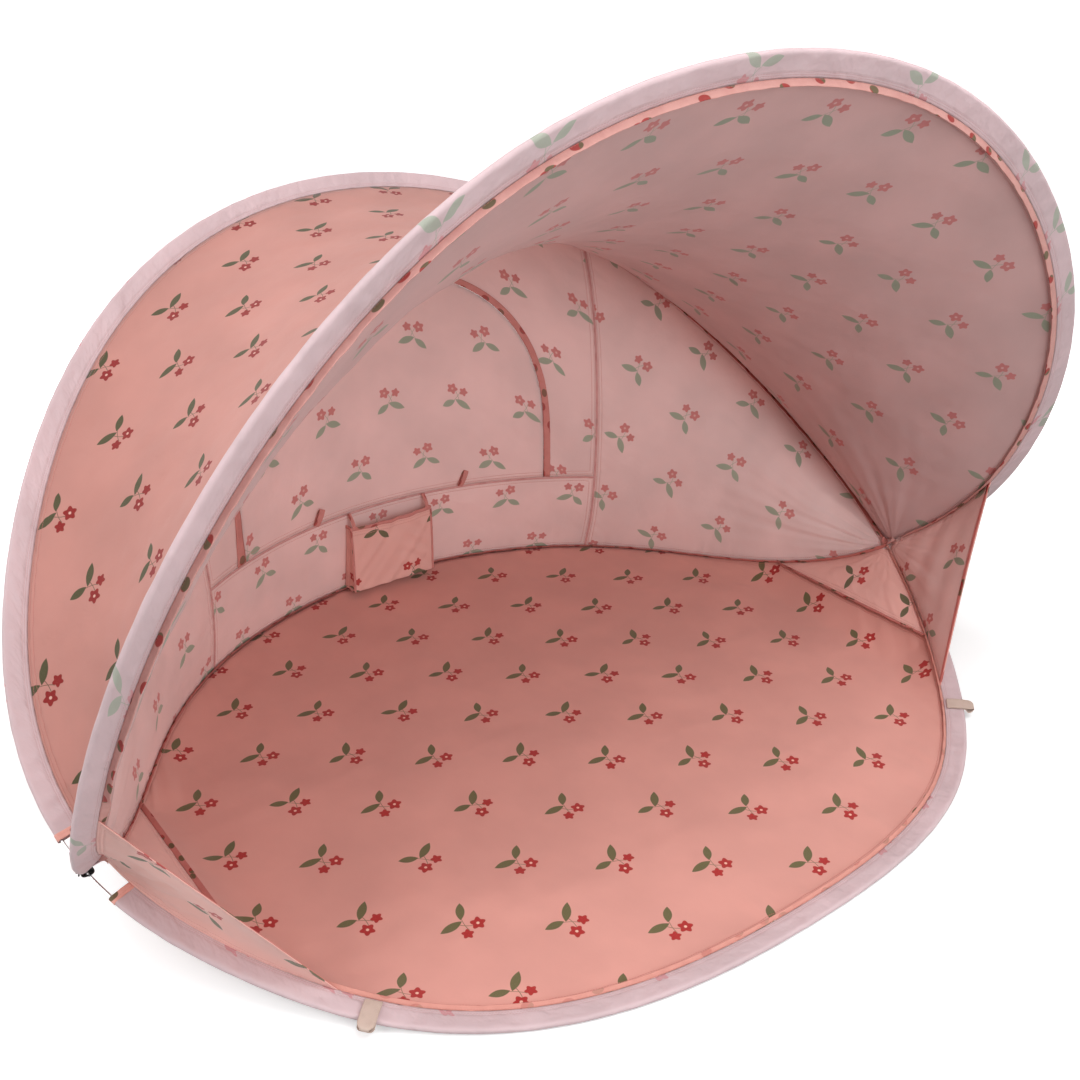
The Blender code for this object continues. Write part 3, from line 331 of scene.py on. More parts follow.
def flatten(grid: Array) -> Array:
    """Lays a coarse grid of points flat with the least squares of shear, at true size.

    Args:
        grid: rows of points.

    Returns:
        Rows of flat places, the third coordinate 0, rows running along the first.
    """
    rows, columns = grid.shape[:2]
    points = grid.reshape(-1, 3)
    count = len(points)
    index = np.arange(count).reshape(rows, columns)
    a, b, c, d = (part.ravel() for part in (index[:-1, :-1], index[:-1, 1:], index[1:, 1:], index[1:, :-1]))
    faces = np.concatenate([np.stack(corners, 1) for corners in ((a, b, c), (a, c, d), (a, b, d), (b, c, d))])
    first, second = points[faces[:, 1]] - points[faces[:, 0]], points[faces[:, 2]] - points[faces[:, 0]]
    x1 = np.linalg.norm(first, axis=1)
    x2 = (second * unit(first)).sum(1)
    y2 = np.linalg.norm(second - unit(first) * x2[:, None], axis=1)
    size = np.sqrt(x1 * y2) + 1e-6
    weights = np.stack([x2 - x1 + 1j * y2, -x2 - 1j * y2, x1 + 0j], 1) / size[:, None]
    system = np.zeros((len(faces), count), complex)
    np.add.at(system, (np.arange(len(faces))[:, None], faces), weights)
    pins = [index[rows // 2, 0], index[rows // 2, -1]]
    free = np.setdiff1d(np.arange(count), pins)
    square = system[:, free].conj().T @ system[:, free]
    square[np.diag_indices(len(free))] += 1e-12
    flat = np.zeros(count, complex)
    flat[pins[1]] = 1.0
    flat[free] = np.linalg.solve(square, system[:, free].conj().T @ -system[:, pins[1]])
    flat = flat.reshape(rows, columns)
    flat = flat * (np.linalg.norm(np.diff(grid, axis=1), axis=2).sum() / np.abs(np.diff(flat, axis=1)).sum())
    middle = flat[rows // 2, columns // 2]
    way = flat[rows // 2, min(columns // 2 + 1, columns - 1)] - middle
    flat = (flat - middle) * (way.conjugate() / abs(way))
    return np.stack([flat.real, flat.imag, flat.real * 0], -1)


def ripple(u: Array, v: Array, seed: int, wave: float, count: int = 9, spread: float = 3.1416) -> Array:
    """Smooth seeded wrinkles: a sum of sines in directions within a spread of each other.

    Args:
        u: first coordinate in metres.
        v: second coordinate in metres.
        seed: which set of wrinkles.
        wave: typical wavelength in metres.
        count: how many sines.
        spread: range of their directions in radians.

    Returns:
        Heights of about -1 to 1.
    """
    rng = np.random.default_rng(seed)
    total = np.zeros_like(u)
    for _ in range(count):
        angle = (rng.random() - 0.5) * spread
        length = wave * (0.6 + 0.9 * rng.random())
        phase = rng.random() * math.tau
        bend = 0.35 * np.sin((u * math.sin(angle) - v * math.cos(angle)) / (wave * 2.3) + phase)
        total += np.sin((u * math.cos(angle) + v * math.sin(angle)) * math.tau / length + phase + bend * 3)
    return total / math.sqrt(count) / 1.4


def waves_along(run: Array, seed: int, wave: float, count: int = 9, spread: float = 0.1) -> Array:
    """Seeded wrinkles that change along one distance only."""
    return ripple(run, run * 0, seed, wave, count, spread)


@dataclass
class Run:
    """One run of a hoop sampled at the fine columns: wire points, sleeve directions and seam points."""

    distances: Array
    wire: Array
    steer: Array
    seam: Array
    coarse_seam: Array
    coarse_steer: Array


class Hoops:
    """The four runs of hoop with their stations and seam lines."""

    def __init__(self) -> None:
        """Works out both rings of wire and samples their four runs."""
        h, p, c = HOOPS, PANELS, COLUMNS
        self.arch_curve, self.front_curve = self.ring(
            (h.arch_spans, h.arch_leans, h.arch_rises), (h.rear_arch_lean, h.rear_arch_height),
            (h.front_spans, h.front_reaches, h.front_rises), -h.front_reach, 1.0,
        )
        self.hood_curve, self.rear_curve = self.ring(
            (h.hood_spans, h.hood_reaches, h.hood_rises), (-h.hood_reach, h.hood_height),
            (h.rear_spans, h.rear_reaches, h.rear_rises), h.rear_reach, -1.0,
        )
        top, foot = h.half_span * p.wall_seam_top_share, h.half_span * p.wall_seam_foot_share
        far = p.panel_bare + p.rear_arch_bare
        self.arch = self.sample(
            self.arch_curve, (p.panel_bare, p.rear_arch_bare, top), (c.wall_seam, c.middle),
            self.above(self.arch_curve, h.arch_aim_share),
        )
        self.front = self.sample(
            self.front_curve, (p.panel_bare, p.front_ground_bare, p.side_seam_front_run, p.wing_ground_run),
            (c.side_seam, c.wing, c.middle), np.array([0.0, -h.front_reach * h.ground_aim_share, 0.0]),
        )
        self.hood = self.sample(
            self.hood_curve, (p.hood_bare, far, p.wing_hood_run), (c.wing, c.middle),
            self.above(self.hood_curve, h.hood_aim_share),
        )
        self.rear = self.sample(
            self.rear_curve, (p.rear_ground_bare, far, p.side_seam_rear_run, foot),
            (c.side_seam, c.wall_seam, c.middle), np.array([0.0, h.rear_reach * h.ground_aim_share, 0.0]),
        )

    @staticmethod
    def above(curve: Array, share: float) -> Array:
        """The point at a share of the way from the level of the crossings to the top of an arch."""
        return LEVEL + (curve[len(curve) // 2] - LEVEL) * share

    @staticmethod
    def ring(arch: tuple, top: tuple, ground: tuple, reach: float, side: float) -> tuple[Array, Array]:
        """One closed ring of wire.

        Args:
            arch: shares of span, reach and rise at the arch's guide points.
            top: reach and height of the arch's top.
            ground: shares of span, reach and rise at the ground run's guide points.
            reach: how far out the ground run goes.
            side: 1 if the ring passes outside the other at the crossings, -1 if inside.

        Returns:
            The arch run and the ground run as fine polylines.
        """
        h = HOOPS
        base, drop = h.crossing_height, h.crossing_height - h.ground_wire_height
        upper = [(h.half_span * s, top[0] * r, base + (top[1] - base) * z) for s, r, z in zip(*arch)]
        lower = [(h.half_span * s, reach * r, h.ground_wire_height + drop * z) for s, r, z in zip(*ground)]
        crossing = np.array([h.half_span + side * h.crossing_spacing / 2, 0.0, base])
        return hoop(np.array(upper), np.array(lower), crossing)

    @staticmethod
    def sample(curve: Array, marks: tuple, columns: tuple, aim: Array) -> Run:
        """Samples one run at the coarse and the fine columns.

        Args:
            curve: the run as a fine polyline.
            marks: distances of the marked columns.
            columns: numbers of the marked columns past the second.
            aim: the point that the sleeve is turned towards.

        Returns:
            The sampled run.
        """
        coarse = stations(curve, marks, columns)
        even = np.linspace(0.0, run_length(curve), len(curve))
        points = along(curve, even)
        forward = tangents(points)
        steer = aim - points
        steer = unit(steer - (steer * forward).sum(1, keepdims=True) * forward)
        steps = len(coarse) - 1
        fine = np.interp(np.linspace(0, steps, steps * COLUMNS.fine + 1), np.arange(steps + 1), coarse)

        def at(distances: Array) -> tuple[Array, Array]:
            """Wire points and sleeve directions at distances."""
            turned = np.stack([np.interp(distances, even, values) for values in steer.T], 1)
            return along(curve, distances), unit(turned)

        wire, ways = at(fine)
        coarse_wire, coarse_ways = at(coarse)
        width = PANELS.sleeve_width
        return Run(fine, wire, ways, wire + ways * width, coarse_wire + coarse_ways * width, coarse_ways)


class Value:
    """A value that changes over a surface, so that shader arithmetic reads as plain arithmetic."""

    def __init__(self, nodes: "Nodes", socket: bpy.types.NodeSocket) -> None:
        """Keeps the node helper and the socket that the value comes from."""
        self.nodes, self.socket = nodes, socket

    def __add__(self, other: object) -> "Value":
        """The sum."""
        return self.nodes.math("ADD", self, other)

    def __sub__(self, other: object) -> "Value":
        """The difference."""
        return self.nodes.math("SUBTRACT", self, other)

    def __rsub__(self, other: object) -> "Value":
        """The difference from a number."""
        return self.nodes.math("SUBTRACT", other, self)

    def __mul__(self, other: object) -> "Value":
        """The product."""
        return self.nodes.math("MULTIPLY", self, other)

    def __truediv__(self, other: object) -> "Value":
        """The quotient."""
        return self.nodes.math("DIVIDE", self, other)

    def __abs__(self) -> "Value":
        """The value without its sign."""
        return self.nodes.math("ABSOLUTE", self)


class Nodes:
    """Small helper that adds and links nodes of one tree."""

    def __init__(self, tree: bpy.types.NodeTree) -> None:
        """Keeps the tree."""
        self.tree = tree

    def add(self, kind: str, **settings: object) -> bpy.types.Node:
        """Adds a node.

        Args:
            kind: Blender's name of the node type.
            **settings: its properties.

        Returns:
            The node.
        """
        node = self.tree.nodes.new(kind)
        for name, value in settings.items():
            setattr(node, name, value)
        return node

    def link(self, source: object, target: bpy.types.NodeSocket) -> None:
        """Links a value to a socket, or sets a plain number or colour on it.

        Args:
            source: a value, a socket, a number or a colour.
            target: the socket that takes it.
        """
        if isinstance(source, Value):
            source = source.socket
        if isinstance(source, bpy.types.NodeSocket):
            self.tree.links.new(source, target)
        else:
            target.default_value = source

    def filled(self, kind: str, inputs: dict, output: object = 0, **settings: object) -> Value:
        """Adds a node and fills its sockets.

        Args:
            kind: Blender's name of the node type.
            inputs: socket name or number to what it takes.
            output: name or number of the output wanted.
            **settings: its properties.

        Returns:
            The output's value.
        """
        node = self.add(kind, **settings)
        for name, source in inputs.items():
            self.link(source, node.inputs[name])
        return Value(self, node.outputs[output])

    def math(self, operation: str, first: object, second: object = 0.0, clamp: bool = False) -> Value:
        """A Math node's result."""
        return self.filled("ShaderNodeMath", {0: first, 1: second}, operation=operation, use_clamp=clamp)

    def ramp(self, value: object, low: float, high: float) -> Value:
        """Smoothly 0 below low and 1 above high, or the other way round where low is the larger."""
        ends = {1: min(low, high), 2: max(low, high), 3: float(low > high), 4: float(low < high)}
        return self.filled("ShaderNodeMapRange", {0: value, **ends}, interpolation_type="SMOOTHSTEP", clamp=True)

    def mix(self, factor: object, first: object, second: object) -> Value:
        """Mixes two colours."""
        ends = [(*colour, 1.0) if isinstance(colour, tuple) else colour for colour in (first, second)]
        return self.filled("ShaderNodeMix", {0: factor, 6: ends[0], 7: ends[1]}, 2, data_type="RGBA")

    def noise(self, vector: object, scale: float, detail: float = 2.0, kind: str = "FBM") -> Value:
        """A noise value about 0.5."""
        inputs = {"Vector": vector, "Scale": scale, "Detail": detail}
        return self.filled("ShaderNodeTexNoise", inputs, noise_type=kind)

    def bump(self, height: object, strength: float, distance: float, normal: object = None) -> Value:
        """A bumped normal, on top of another where one is given."""
        inputs = {"Height": height, "Strength": strength, "Distance": distance}
        return self.filled("ShaderNodeBump", inputs if normal is None else {**inputs, "Normal": normal})

    def split(self, vector: object) -> tuple[Value, Value]:
        """The X and Y of a vector."""
        node = self.filled("ShaderNodeSeparateXYZ", {0: vector}).socket.node
        return Value(self, node.outputs[0]), Value(self, node.outputs[1])

    def join(self, x: object, y: object) -> Value:
        """A vector from its X and Y."""
        return self.filled("ShaderNodeCombineXYZ", {0: x, 1: y})

    def dashes(self, run: Value) -> Value:
        """How far a place along a seam is from the middle of a stitch, in shares of a stitch."""
        return abs(self.math("FRACT", run / 0.0034) - 0.5)


def group_tree(name: str, vector: str, numbers: tuple, outputs: tuple) -> tuple[bpy.types.NodeTree, Nodes, list, list]:
    """Starts a node group.

    Args:
        name: the group's name.
        vector: name of its vector input.
        numbers: names of its number inputs.
        outputs: names of its outputs.

    Returns:
        The group, its helper, the values that come in and the sockets that go out.
    """
    tree = bpy.data.node_groups.new(name, "ShaderNodeTree")
    tree.interface.new_socket(vector, in_out="INPUT", socket_type="NodeSocketVector")
    for socket in numbers:
        tree.interface.new_socket(socket, in_out="INPUT", socket_type="NodeSocketFloat")
    for socket in outputs:
        tree.interface.new_socket(socket, in_out="OUTPUT", socket_type="NodeSocketFloat")
    nodes = Nodes(tree)
    source, target = nodes.add("NodeGroupInput"), nodes.add("NodeGroupOutput")
    return tree, nodes, [Value(nodes, socket) for socket in source.outputs if socket.name], list(target.inputs)


@dataclass(frozen=True)
class Sprig:
    """The printed sprig, a blossom and a bud with two leaves, and its half-drop repeat, in metres."""

    pitch_across: float = 0.124
    pitch_up: float = 0.107
    petal_radius: float = 0.0072
    petal_depth: float = 0.16
    centre_radius: float = 0.0014
    stem_width: float = 0.0006
    stem_bow: float = -22.0
    edge: float = 0.00030
    scale: float = 1.36
    blossom: tuple = (-0.0045, -0.0085)
    bud: tuple = (0.0105, -0.0065)
    leaves: tuple = ((0.0105, 0.0100, 0.45, 0.0115, 0.0042), (-0.0085, 0.0115, -0.55, 0.0095, 0.0040))
    stem_leans: tuple = (-0.40, 0.62)

    def group(self) -> bpy.types.NodeTree:
        """A node group from a place on the cloth, and the share of the sprigs that is kept, to the sprig's masks."""
        tree, n, (place, kept_share), targets = group_tree("sprig", "Place", ("Kept",), ("Petal", "Centre", "Leaf"))
        x, y = n.split(place)
        row = n.math("FLOOR", y / self.pitch_up)
        odd = n.math("FLOORED_MODULO", row, 2.0)
        across = x / self.pitch_across + odd * 0.5
        column = n.math("FLOOR", across)
        chance = n.filled("ShaderNodeTexWhiteNoise", {"Vector": n.join(column, row)}, "Value", noise_dimensions="2D")
        turn = (chance - 0.5) * 0.5
        local_x = (across - column - 0.5) * self.pitch_across
        local_y = (y / self.pitch_up - row - 0.5) * self.pitch_up
        cosine, sine = n.math("COSINE", turn), n.math("SINE", turn)
        x = (local_x * cosine - local_y * sine) * (1.0 - odd * 2.0) / self.scale
        y = (local_x * sine + local_y * cosine) / self.scale
        big, radius = self.petals(n, x - self.blossom[0], y - self.blossom[1], self.petal_radius)
        bud, _ = self.petals(n, x - self.bud[0], y - self.bud[1], self.petal_radius * 0.80)
        petal = n.math("MAXIMUM", big, bud)
        centre = n.ramp(radius, self.centre_radius + self.edge, self.centre_radius - self.edge)
        leaves = n.math("MAXIMUM", *(self.leaf(n, x - a, y - b, *leaf) for a, b, *leaf in self.leaves))
        for lean in self.stem_leans:
            line = abs(y * -lean + y * y * self.stem_bow - x + 0.0032) - self.stem_width / 2
            inside = n.ramp(y, -0.0065, -0.0060) * n.ramp(y, 0.0088, 0.0082)
            leaves = n.math("MAXIMUM", leaves, n.ramp(line, self.edge, -self.edge) * inside)
        leaves = n.math("SUBTRACT", leaves, petal, clamp=True)
        kept = n.math("LESS_THAN", n.math("FRACT", chance * 37.0), kept_share)
        for value, target in zip((petal * kept, centre, leaves * kept), targets):
            n.link(value, target)
        return tree

    def petals(self, n: Nodes, x: Value, y: Value, size: float) -> tuple[Value, Value]:
        """A five-petalled blossom.

        Args:
            n: the group's helper.
            x: place across from its middle.
            y: place up from its middle.
            size: its radius.

        Returns:
            Its mask and the distance from its middle.
        """
        radius = n.math("SQRT", x * x + y * y)
        wave = n.math("COSINE", n.math("ARCTAN2", y, x) * 5.0)
        reach = (wave * self.petal_depth + (1 - self.petal_depth)) * size
        return n.ramp(radius - reach, self.edge, -self.edge), radius

    def leaf(self, n: Nodes, x: Value, y: Value, angle: float, length: float, width: float) -> Value:
        """A pointed leaf.

        Args:
            n: the group's helper.
            x: place across from its middle.
            y: place up from its middle.
            angle: its turn in radians.
            length: half its length.
            width: half its width.

        Returns:
            Its mask.
        """
        cosine, sine = math.cos(angle), math.sin(angle)
        run = (x * cosine + y * sine) / length
        off = (y * cosine - x * sine) / width
        return n.ramp(abs(off) - (1.0 - run * run), self.edge / width, -self.edge / width)


def crinkle_group() -> bpy.types.NodeTree:
    """Heights of thin crisp cloth, weave and creases, from a place in metres."""
    tree, n, (place,), targets = group_tree("crinkle", "Place", (), ("Weave", "Crease"))
    x, y = n.split(place)
    n.link(n.math("SINE", x * 9000.0) * n.math("SINE", y * 9000.0), targets[0])
    n.link(n.noise(place, 11.0, 3.0, "RIDGED_MULTIFRACTAL") * 0.35 + n.noise(place, 26.0, 3.0), targets[1])
    return tree


def stitch_group() -> bpy.types.NodeTree:
    """Threads and dips of two rows of stitches, from (distance off the seam, distance along it) in metres."""
    tree, n, (seam, *rows), targets = group_tree("stitches", "Seam", ("First row", "Second row"), ("Thread", "Dip"))
    off, run = n.split(seam)
    dash = n.ramp(n.dashes(run), 0.40, 0.34)
    gaps = [abs(off - row) for row in rows]
    n.link(n.math("MAXIMUM", *(n.ramp(gap, 0.00055, 0.0003) * dash for gap in gaps)), targets[0])
    n.link(n.math("MAXIMUM", *(n.ramp(gap, 0.0028, 0.0) for gap in gaps)), targets[1])
    return tree


def ink(red: int, green: int, blue: int) -> tuple[float, float, float]:
    """A colour written as 0 to 255 values, as the linear values that a shader takes."""
    shares = (value / 255 for value in (red, green, blue))
    return tuple(share / 12.92 if share <= 0.04045 else ((share + 0.055) / 1.055) ** 2.4 for share in shares)


@dataclass(frozen=True)
class ClothFinish:
    """One side of a cloth: its ground, the colours of the sprig and how it takes the light."""

    name: str
    ground: tuple
    petal: tuple
    leaf: tuple
    centre: tuple
    thread: tuple
    see_through: float = 0.28
    crease: float = 0.35
    print_strength: float = 1.0
    kept: float = 1.0
    stitch_rows: tuple = (0.004, 0.0095)
    roughness: float = 0.78
    sheen: float = 0.25


@dataclass(frozen=True)
class TapeFinish:
    """A narrow tape: its ground, its rib, the bits of print on it and its roughness."""

    name: str
    ground: tuple
    rib: tuple
    bits: float
    rib_width: float = 0.0016
    roughness: float = 0.75
    bit_rate: float = 27.0


class Finish(Enum):
    """Finishes of the cloths: ground, petal, leaf, centre and thread, then what differs from the usual."""

    OUTER = ClothFinish(
        "printed_cloth_outer", ink(214, 154, 143), ink(150, 34, 32), ink(84, 80, 50), ink(232, 190, 176),
        ink(196, 120, 112),
    )
    INNER = ClothFinish(
        "printed_cloth_inner", ink(250, 230, 227), ink(226, 154, 150), ink(184, 196, 174), ink(240, 204, 196),
        ink(214, 158, 152),
    )
    # Painted shade: a darker copy of the reverse side for the canopy's inner face, which faces down away from the
    # lamps.
    PAINTED_SHADE_CANOPY_INNER = ClothFinish(
        "printed_canopy_inner_painted_shade", ink(212, 185, 183), ink(204, 134, 132), ink(160, 168, 148), ink(216, 178, 174),
        ink(192, 142, 140),
    )
    # Painted light: a lighter copy of the print side for the wings, gussets and pocket, which catch light from above
    # and behind.
    PAINTED_LIGHT_OUTER = ClothFinish(
        "printed_cloth_painted_light", ink(250, 196, 185), ink(190, 66, 62), ink(112, 108, 80), ink(244, 206, 194),
        ink(220, 152, 142), 0.10,
    )
    # Painted shade: a darker, pinker copy of the reverse side for the wings' inner faces.
    WING_INNER_PAINTED_SHADE = ClothFinish(
        "printed_wing_inner_painted_shade", ink(246, 217, 211), ink(216, 134, 129), ink(164, 170, 144), ink(244, 206, 198),
        ink(216, 154, 146),
    )
    # Painted light: a lighter copy of the print side for the floor, which lies open to the overhead lamp.
    FLOOR = ClothFinish(
        "printed_cloth_floor_painted_light", ink(225, 161, 149), ink(170, 34, 32), ink(102, 96, 60), ink(236, 192, 174),
        ink(196, 120, 110), 0.0, 0.25,
    )
    SLEEVE = ClothFinish(
        "pale_sleeve_cloth", ink(230, 206, 209), ink(216, 140, 146), ink(168, 182, 162), ink(228, 200, 202),
        ink(214, 176, 178), 0.25, 1.5, 0.75, 0.55, (0.0035, 0.006),
    )


class Tape(Enum):
    """Finishes of the tapes."""

    PEACH = TapeFinish("peach_binding_tape", ink(212, 160, 152), ink(192, 133, 126), 0.9)
    HEM = TapeFinish("hem_tape", ink(240, 178, 164), ink(218, 150, 138), 0.9)
    # Painted shade: a darker copy of the binding tape for seams that lie in shade, along the rear arch, the rear ground
    # run and the floor's sides.
    PAINTED_SHADE_BINDING = TapeFinish("binding_tape_painted_shade", ink(206, 130, 122), ink(184, 106, 99), 0.9, bit_rate=36.0)
    FELL = TapeFinish("felled_seam", ink(222, 174, 170), ink(200, 144, 140), 0.15)
    FACING = TapeFinish("floor_facing", ink(216, 152, 139), ink(200, 134, 122), 0.3)
    PLACKET = TapeFinish("dark_placket_cloth", ink(216, 148, 140), ink(194, 122, 115), 0.7)
    EDGE = TapeFinish("wing_edge_tape", ink(216, 134, 126), ink(198, 112, 105), 0.9, bit_rate=14.0)
    WEBBING = TapeFinish("greige_webbing", ink(206, 184, 172), ink(180, 156, 142), 0.0, 0.0022, 0.85)
    BLACK = TapeFinish("black_tape", ink(40, 38, 38), ink(22, 21, 21), 0.0, 0.0012, 0.8)
    ZIP = TapeFinish("zip_plastic", ink(196, 112, 104), ink(150, 76, 70), 0.0, 0.0014, 0.5)


class Finishes:
    """Makes the materials of the tent, each once."""

    def __init__(self) -> None:
        """Builds the node groups that the materials share."""
        self.sprig, self.crinkle, self.stitches = Sprig().group(), crinkle_group(), stitch_group()
        self.made: dict[str, Material] = {}

    def start(self, name: str) -> tuple[Material, Nodes, bpy.types.Node]:
        """A new material with its helper and its shader."""
        material = self.made[name] = bpy.data.materials.new(name)
        material.use_nodes = True
        return material, Nodes(material.node_tree), material.node_tree.nodes["Principled BSDF"]

    @staticmethod
    def fill(n: Nodes, shader: bpy.types.Node, **inputs: object) -> None:
        """Links or sets a shader's sockets, named with underscores for spaces."""
        for name, source in inputs.items():
            n.link(source, shader.inputs[name.replace("_", " ")])

    def cloth(self, finish: Finish) -> Material:
        """A printed cloth side.

        Args:
            finish: which side of which cloth.

        Returns:
            The material, made on first use.
        """
        f = finish.value
        if f.name in self.made:
            return self.made[f.name]
        material, n, shader = self.start(f.name)
        place = n.add("ShaderNodeUVMap", uv_map="Cloth").outputs[0]
        seam = n.add("ShaderNodeUVMap", uv_map="Seam").outputs[0]
        sprig = n.filled("ShaderNodeGroup", {0: place, 1: f.kept}, node_tree=self.sprig).socket.node.outputs
        tone = n.ramp(n.noise(place, 7.0, 3.0), 0.30, 0.72)
        colour = n.mix(tone, tuple(value * 0.90 for value in f.ground), f.ground)
        for mask, print_colour in ((sprig["Leaf"], f.leaf), (sprig["Petal"], f.petal), (sprig["Centre"], f.centre)):
            fade = n.ramp(n.noise(place, 900.0, 1.0), 0.1, 0.5) * 0.18 + 0.82
            colour = n.mix(Value(n, mask) * f.print_strength * fade, colour, print_colour)
        rows = {0: seam, 1: f.stitch_rows[0], 2: f.stitch_rows[1]}
        thread = n.filled("ShaderNodeGroup", rows, node_tree=self.stitches)
        colour = n.mix(thread * 0.85, colour, f.thread)
        heights = n.filled("ShaderNodeGroup", {0: place}, node_tree=self.crinkle).socket.node.outputs
        normal = n.bump(heights["Weave"], 0.10, 0.0002)
        normal = n.bump(heights["Crease"], f.crease, 0.004, normal)
        normal = n.bump(1.0 - Value(n, thread.socket.node.outputs["Dip"]), 0.5, 0.0008, normal)
        self.fill(
            n, shader, Base_Color=colour, Normal=normal, Roughness=f.roughness, Sheen_Weight=f.sheen,
            Sheen_Roughness=0.5, Specular_IOR_Level=0.30,
        )
        if f.see_through > 0:
            through = n.filled("ShaderNodeBsdfTranslucent", {"Color": colour, "Normal": normal})
            both = n.filled("ShaderNodeMixShader", {0: f.see_through, 1: shader.outputs[0], 2: through})
            n.link(both, material.node_tree.nodes["Material Output"].inputs["Surface"])
        return material

    def tape(self, tape: Tape) -> Material:
        """A ribbed tape with bits of print on it.

        Args:
            tape: which tape.

        Returns:
            The material, made on first use.
        """
        f = tape.value
        if f.name in self.made:
            return self.made[f.name]
        material, n, shader = self.start(f.name)
        place = n.add("ShaderNodeUVMap", uv_map="Cloth").outputs[0]
        across, run = n.split(place)
        rib = n.math("SINE", run * (math.tau / f.rib_width))
        weave = rib * n.math("SINE", across * (math.tau / (f.rib_width * 0.8)))
        wear = n.ramp(n.noise(place, 60.0, 4.0), 0.35, 0.70)
        colour = n.mix(n.ramp(weave, -1.0, 1.0) * 0.45 + wear * 0.35, f.ground, f.rib)
        if f.bits > 0:
            spots = {"Vector": n.join(across * 1.6 + 0.31, run), "Scale": f.bit_rate}
            spot = n.filled("ShaderNodeTexVoronoi", spots, "Distance", feature="F1", voronoi_dimensions="2D")
            kind = n.ramp(n.noise(place, 40.0, 0.0), 0.49, 0.51)
            print_colour = n.mix(kind, Finish.OUTER.value.petal, Finish.OUTER.value.leaf)
            colour = n.mix(n.ramp(spot, 0.21, 0.18) * f.bits, colour, print_colour)
        line = n.ramp(abs(across - 0.0012), 0.0006, 0.0003)
        colour = n.mix(line * n.ramp(n.dashes(run), 0.4, 0.34) * 0.5, colour, f.rib)
        normal = n.bump(wear, 0.3, 0.0010, n.bump(weave, 0.35, 0.0003))
        self.fill(n, shader, Base_Color=colour, Normal=normal, Roughness=f.roughness, Specular_IOR_Level=0.35)
        return material

    def metal(self, name: str, colour: tuple, roughness: float) -> Material:
        """Drawn spring steel or a cast slider: a fine grain in its roughness and bump, and a little wear that darkens
        its colour.

        Args:
            name: the material's name.
            colour: its linear colour.
            roughness: its lowest roughness, under the grain.

        Returns:
            The material.
        """
        material, n, shader = self.start(name)
        place = n.add("ShaderNodeTexCoord").outputs["Object"]
        grain = n.noise(place, 420.0, 3.0)
        worn = n.ramp(n.noise(place, 45.0, 3.0), 0.35, 0.75)
        self.fill(
            n, shader, Base_Color=n.mix(worn, colour, tuple(value * 0.72 for value in colour)), Metallic=1.0,
            Roughness=grain * 0.22 + roughness, Normal=n.bump(grain, 0.15, 0.0002),
        )
        return material


def add_object(name: str, data: bpy.types.ID) -> Item:
    """Links a new object that holds a mesh, a lamp or a camera to the scene."""
    item = bpy.data.objects.new(name, data)
    bpy.context.scene.collection.objects.link(item)
    return item


def mesh_object(name: str, points: Array, faces: Array, uvs: dict[str, Array]) -> Item:
    """A smooth mesh object.

    Args:
        name: the piece's name.
        points: n x 3 places in metres.
        faces: m x 4 indices.
        uvs: UV map name to n x 2 values.

    Returns:
        The object.
    """
    mesh = bpy.data.meshes.new(name)
    mesh.from_pydata(points.tolist(), [], faces.tolist())
    mesh.polygons.foreach_set("use_smooth", [True] * len(mesh.polygons))
    loops = np.empty(len(mesh.loops), dtype=np.int32)
    mesh.loops.foreach_get("vertex_index", loops)
    for layer_name, values in uvs.items():
        mesh.uv_layers.new(name=layer_name).data.foreach_set("uv", values[loops].astype(np.float32).ravel())
    mesh.update()
    return add_object(name, mesh)


def grid_faces(rows: int, columns: int, wrap: bool = False) -> Array:
    """Quads of a grid of points.

    Args:
        rows: number of its rows.
        columns: number of its columns.
        wrap: whether it is a tube, closed round its columns.

    Returns:
        m x 4 indices.
    """
    row, column = np.meshgrid(np.arange(rows - 1), np.arange(columns if wrap else columns - 1), indexing="ij")
    after = (column + 1) % columns
    corners = (row * columns + column, row * columns + after, (row + 1) * columns + after, (row + 1) * columns + column)
    return np.stack(corners, -1).reshape(-1, 4)


def apply_modifiers(item: Item) -> Item:
    """Applies every modifier of an object to its mesh.

    Args:
        item: the mesh object.

    Returns:
        The object.
    """
    depsgraph = bpy.context.evaluated_depsgraph_get()
    depsgraph.update()
    made = bpy.data.meshes.new_from_object(item.evaluated_get(depsgraph))
    old = item.data
    item.modifiers.clear()
    item.data = made
    made.name = old.name
    bpy.data.meshes.remove(old)
    return item


def face_out(item: Item, fill: bool = False) -> Item:
    """Makes the faces of a closed mesh look outward.

    Args:
        item: the mesh object.
        fill: whether its open ends are capped first.

    Returns:
        The object.
    """
    solid = bmesh.new()
    solid.from_mesh(item.data)
    if fill:
        bmesh.ops.holes_fill(solid, edges=[edge for edge in solid.edges if edge.is_boundary], sides=0)
    bmesh.ops.recalc_face_normals(solid, faces=solid.faces)
    solid.to_mesh(item.data)
    solid.free()
    return item


def join_meshes(name: str, meshes: list) -> Item:
    """Joins several meshes into one piece and keeps the first one's material.

    Args:
        name: the piece's name.
        meshes: the meshes, which are used up.

    Returns:
        The piece.
    """
    joined = bmesh.new()
    material = meshes[0].materials[0]
    for mesh in meshes:
        joined.from_mesh(mesh)
        bpy.data.meshes.remove(mesh)
    item = add_object(name, bpy.data.meshes.new(name))
    joined.to_mesh(item.data)
    joined.free()
    item.data.materials.append(material)
    return item


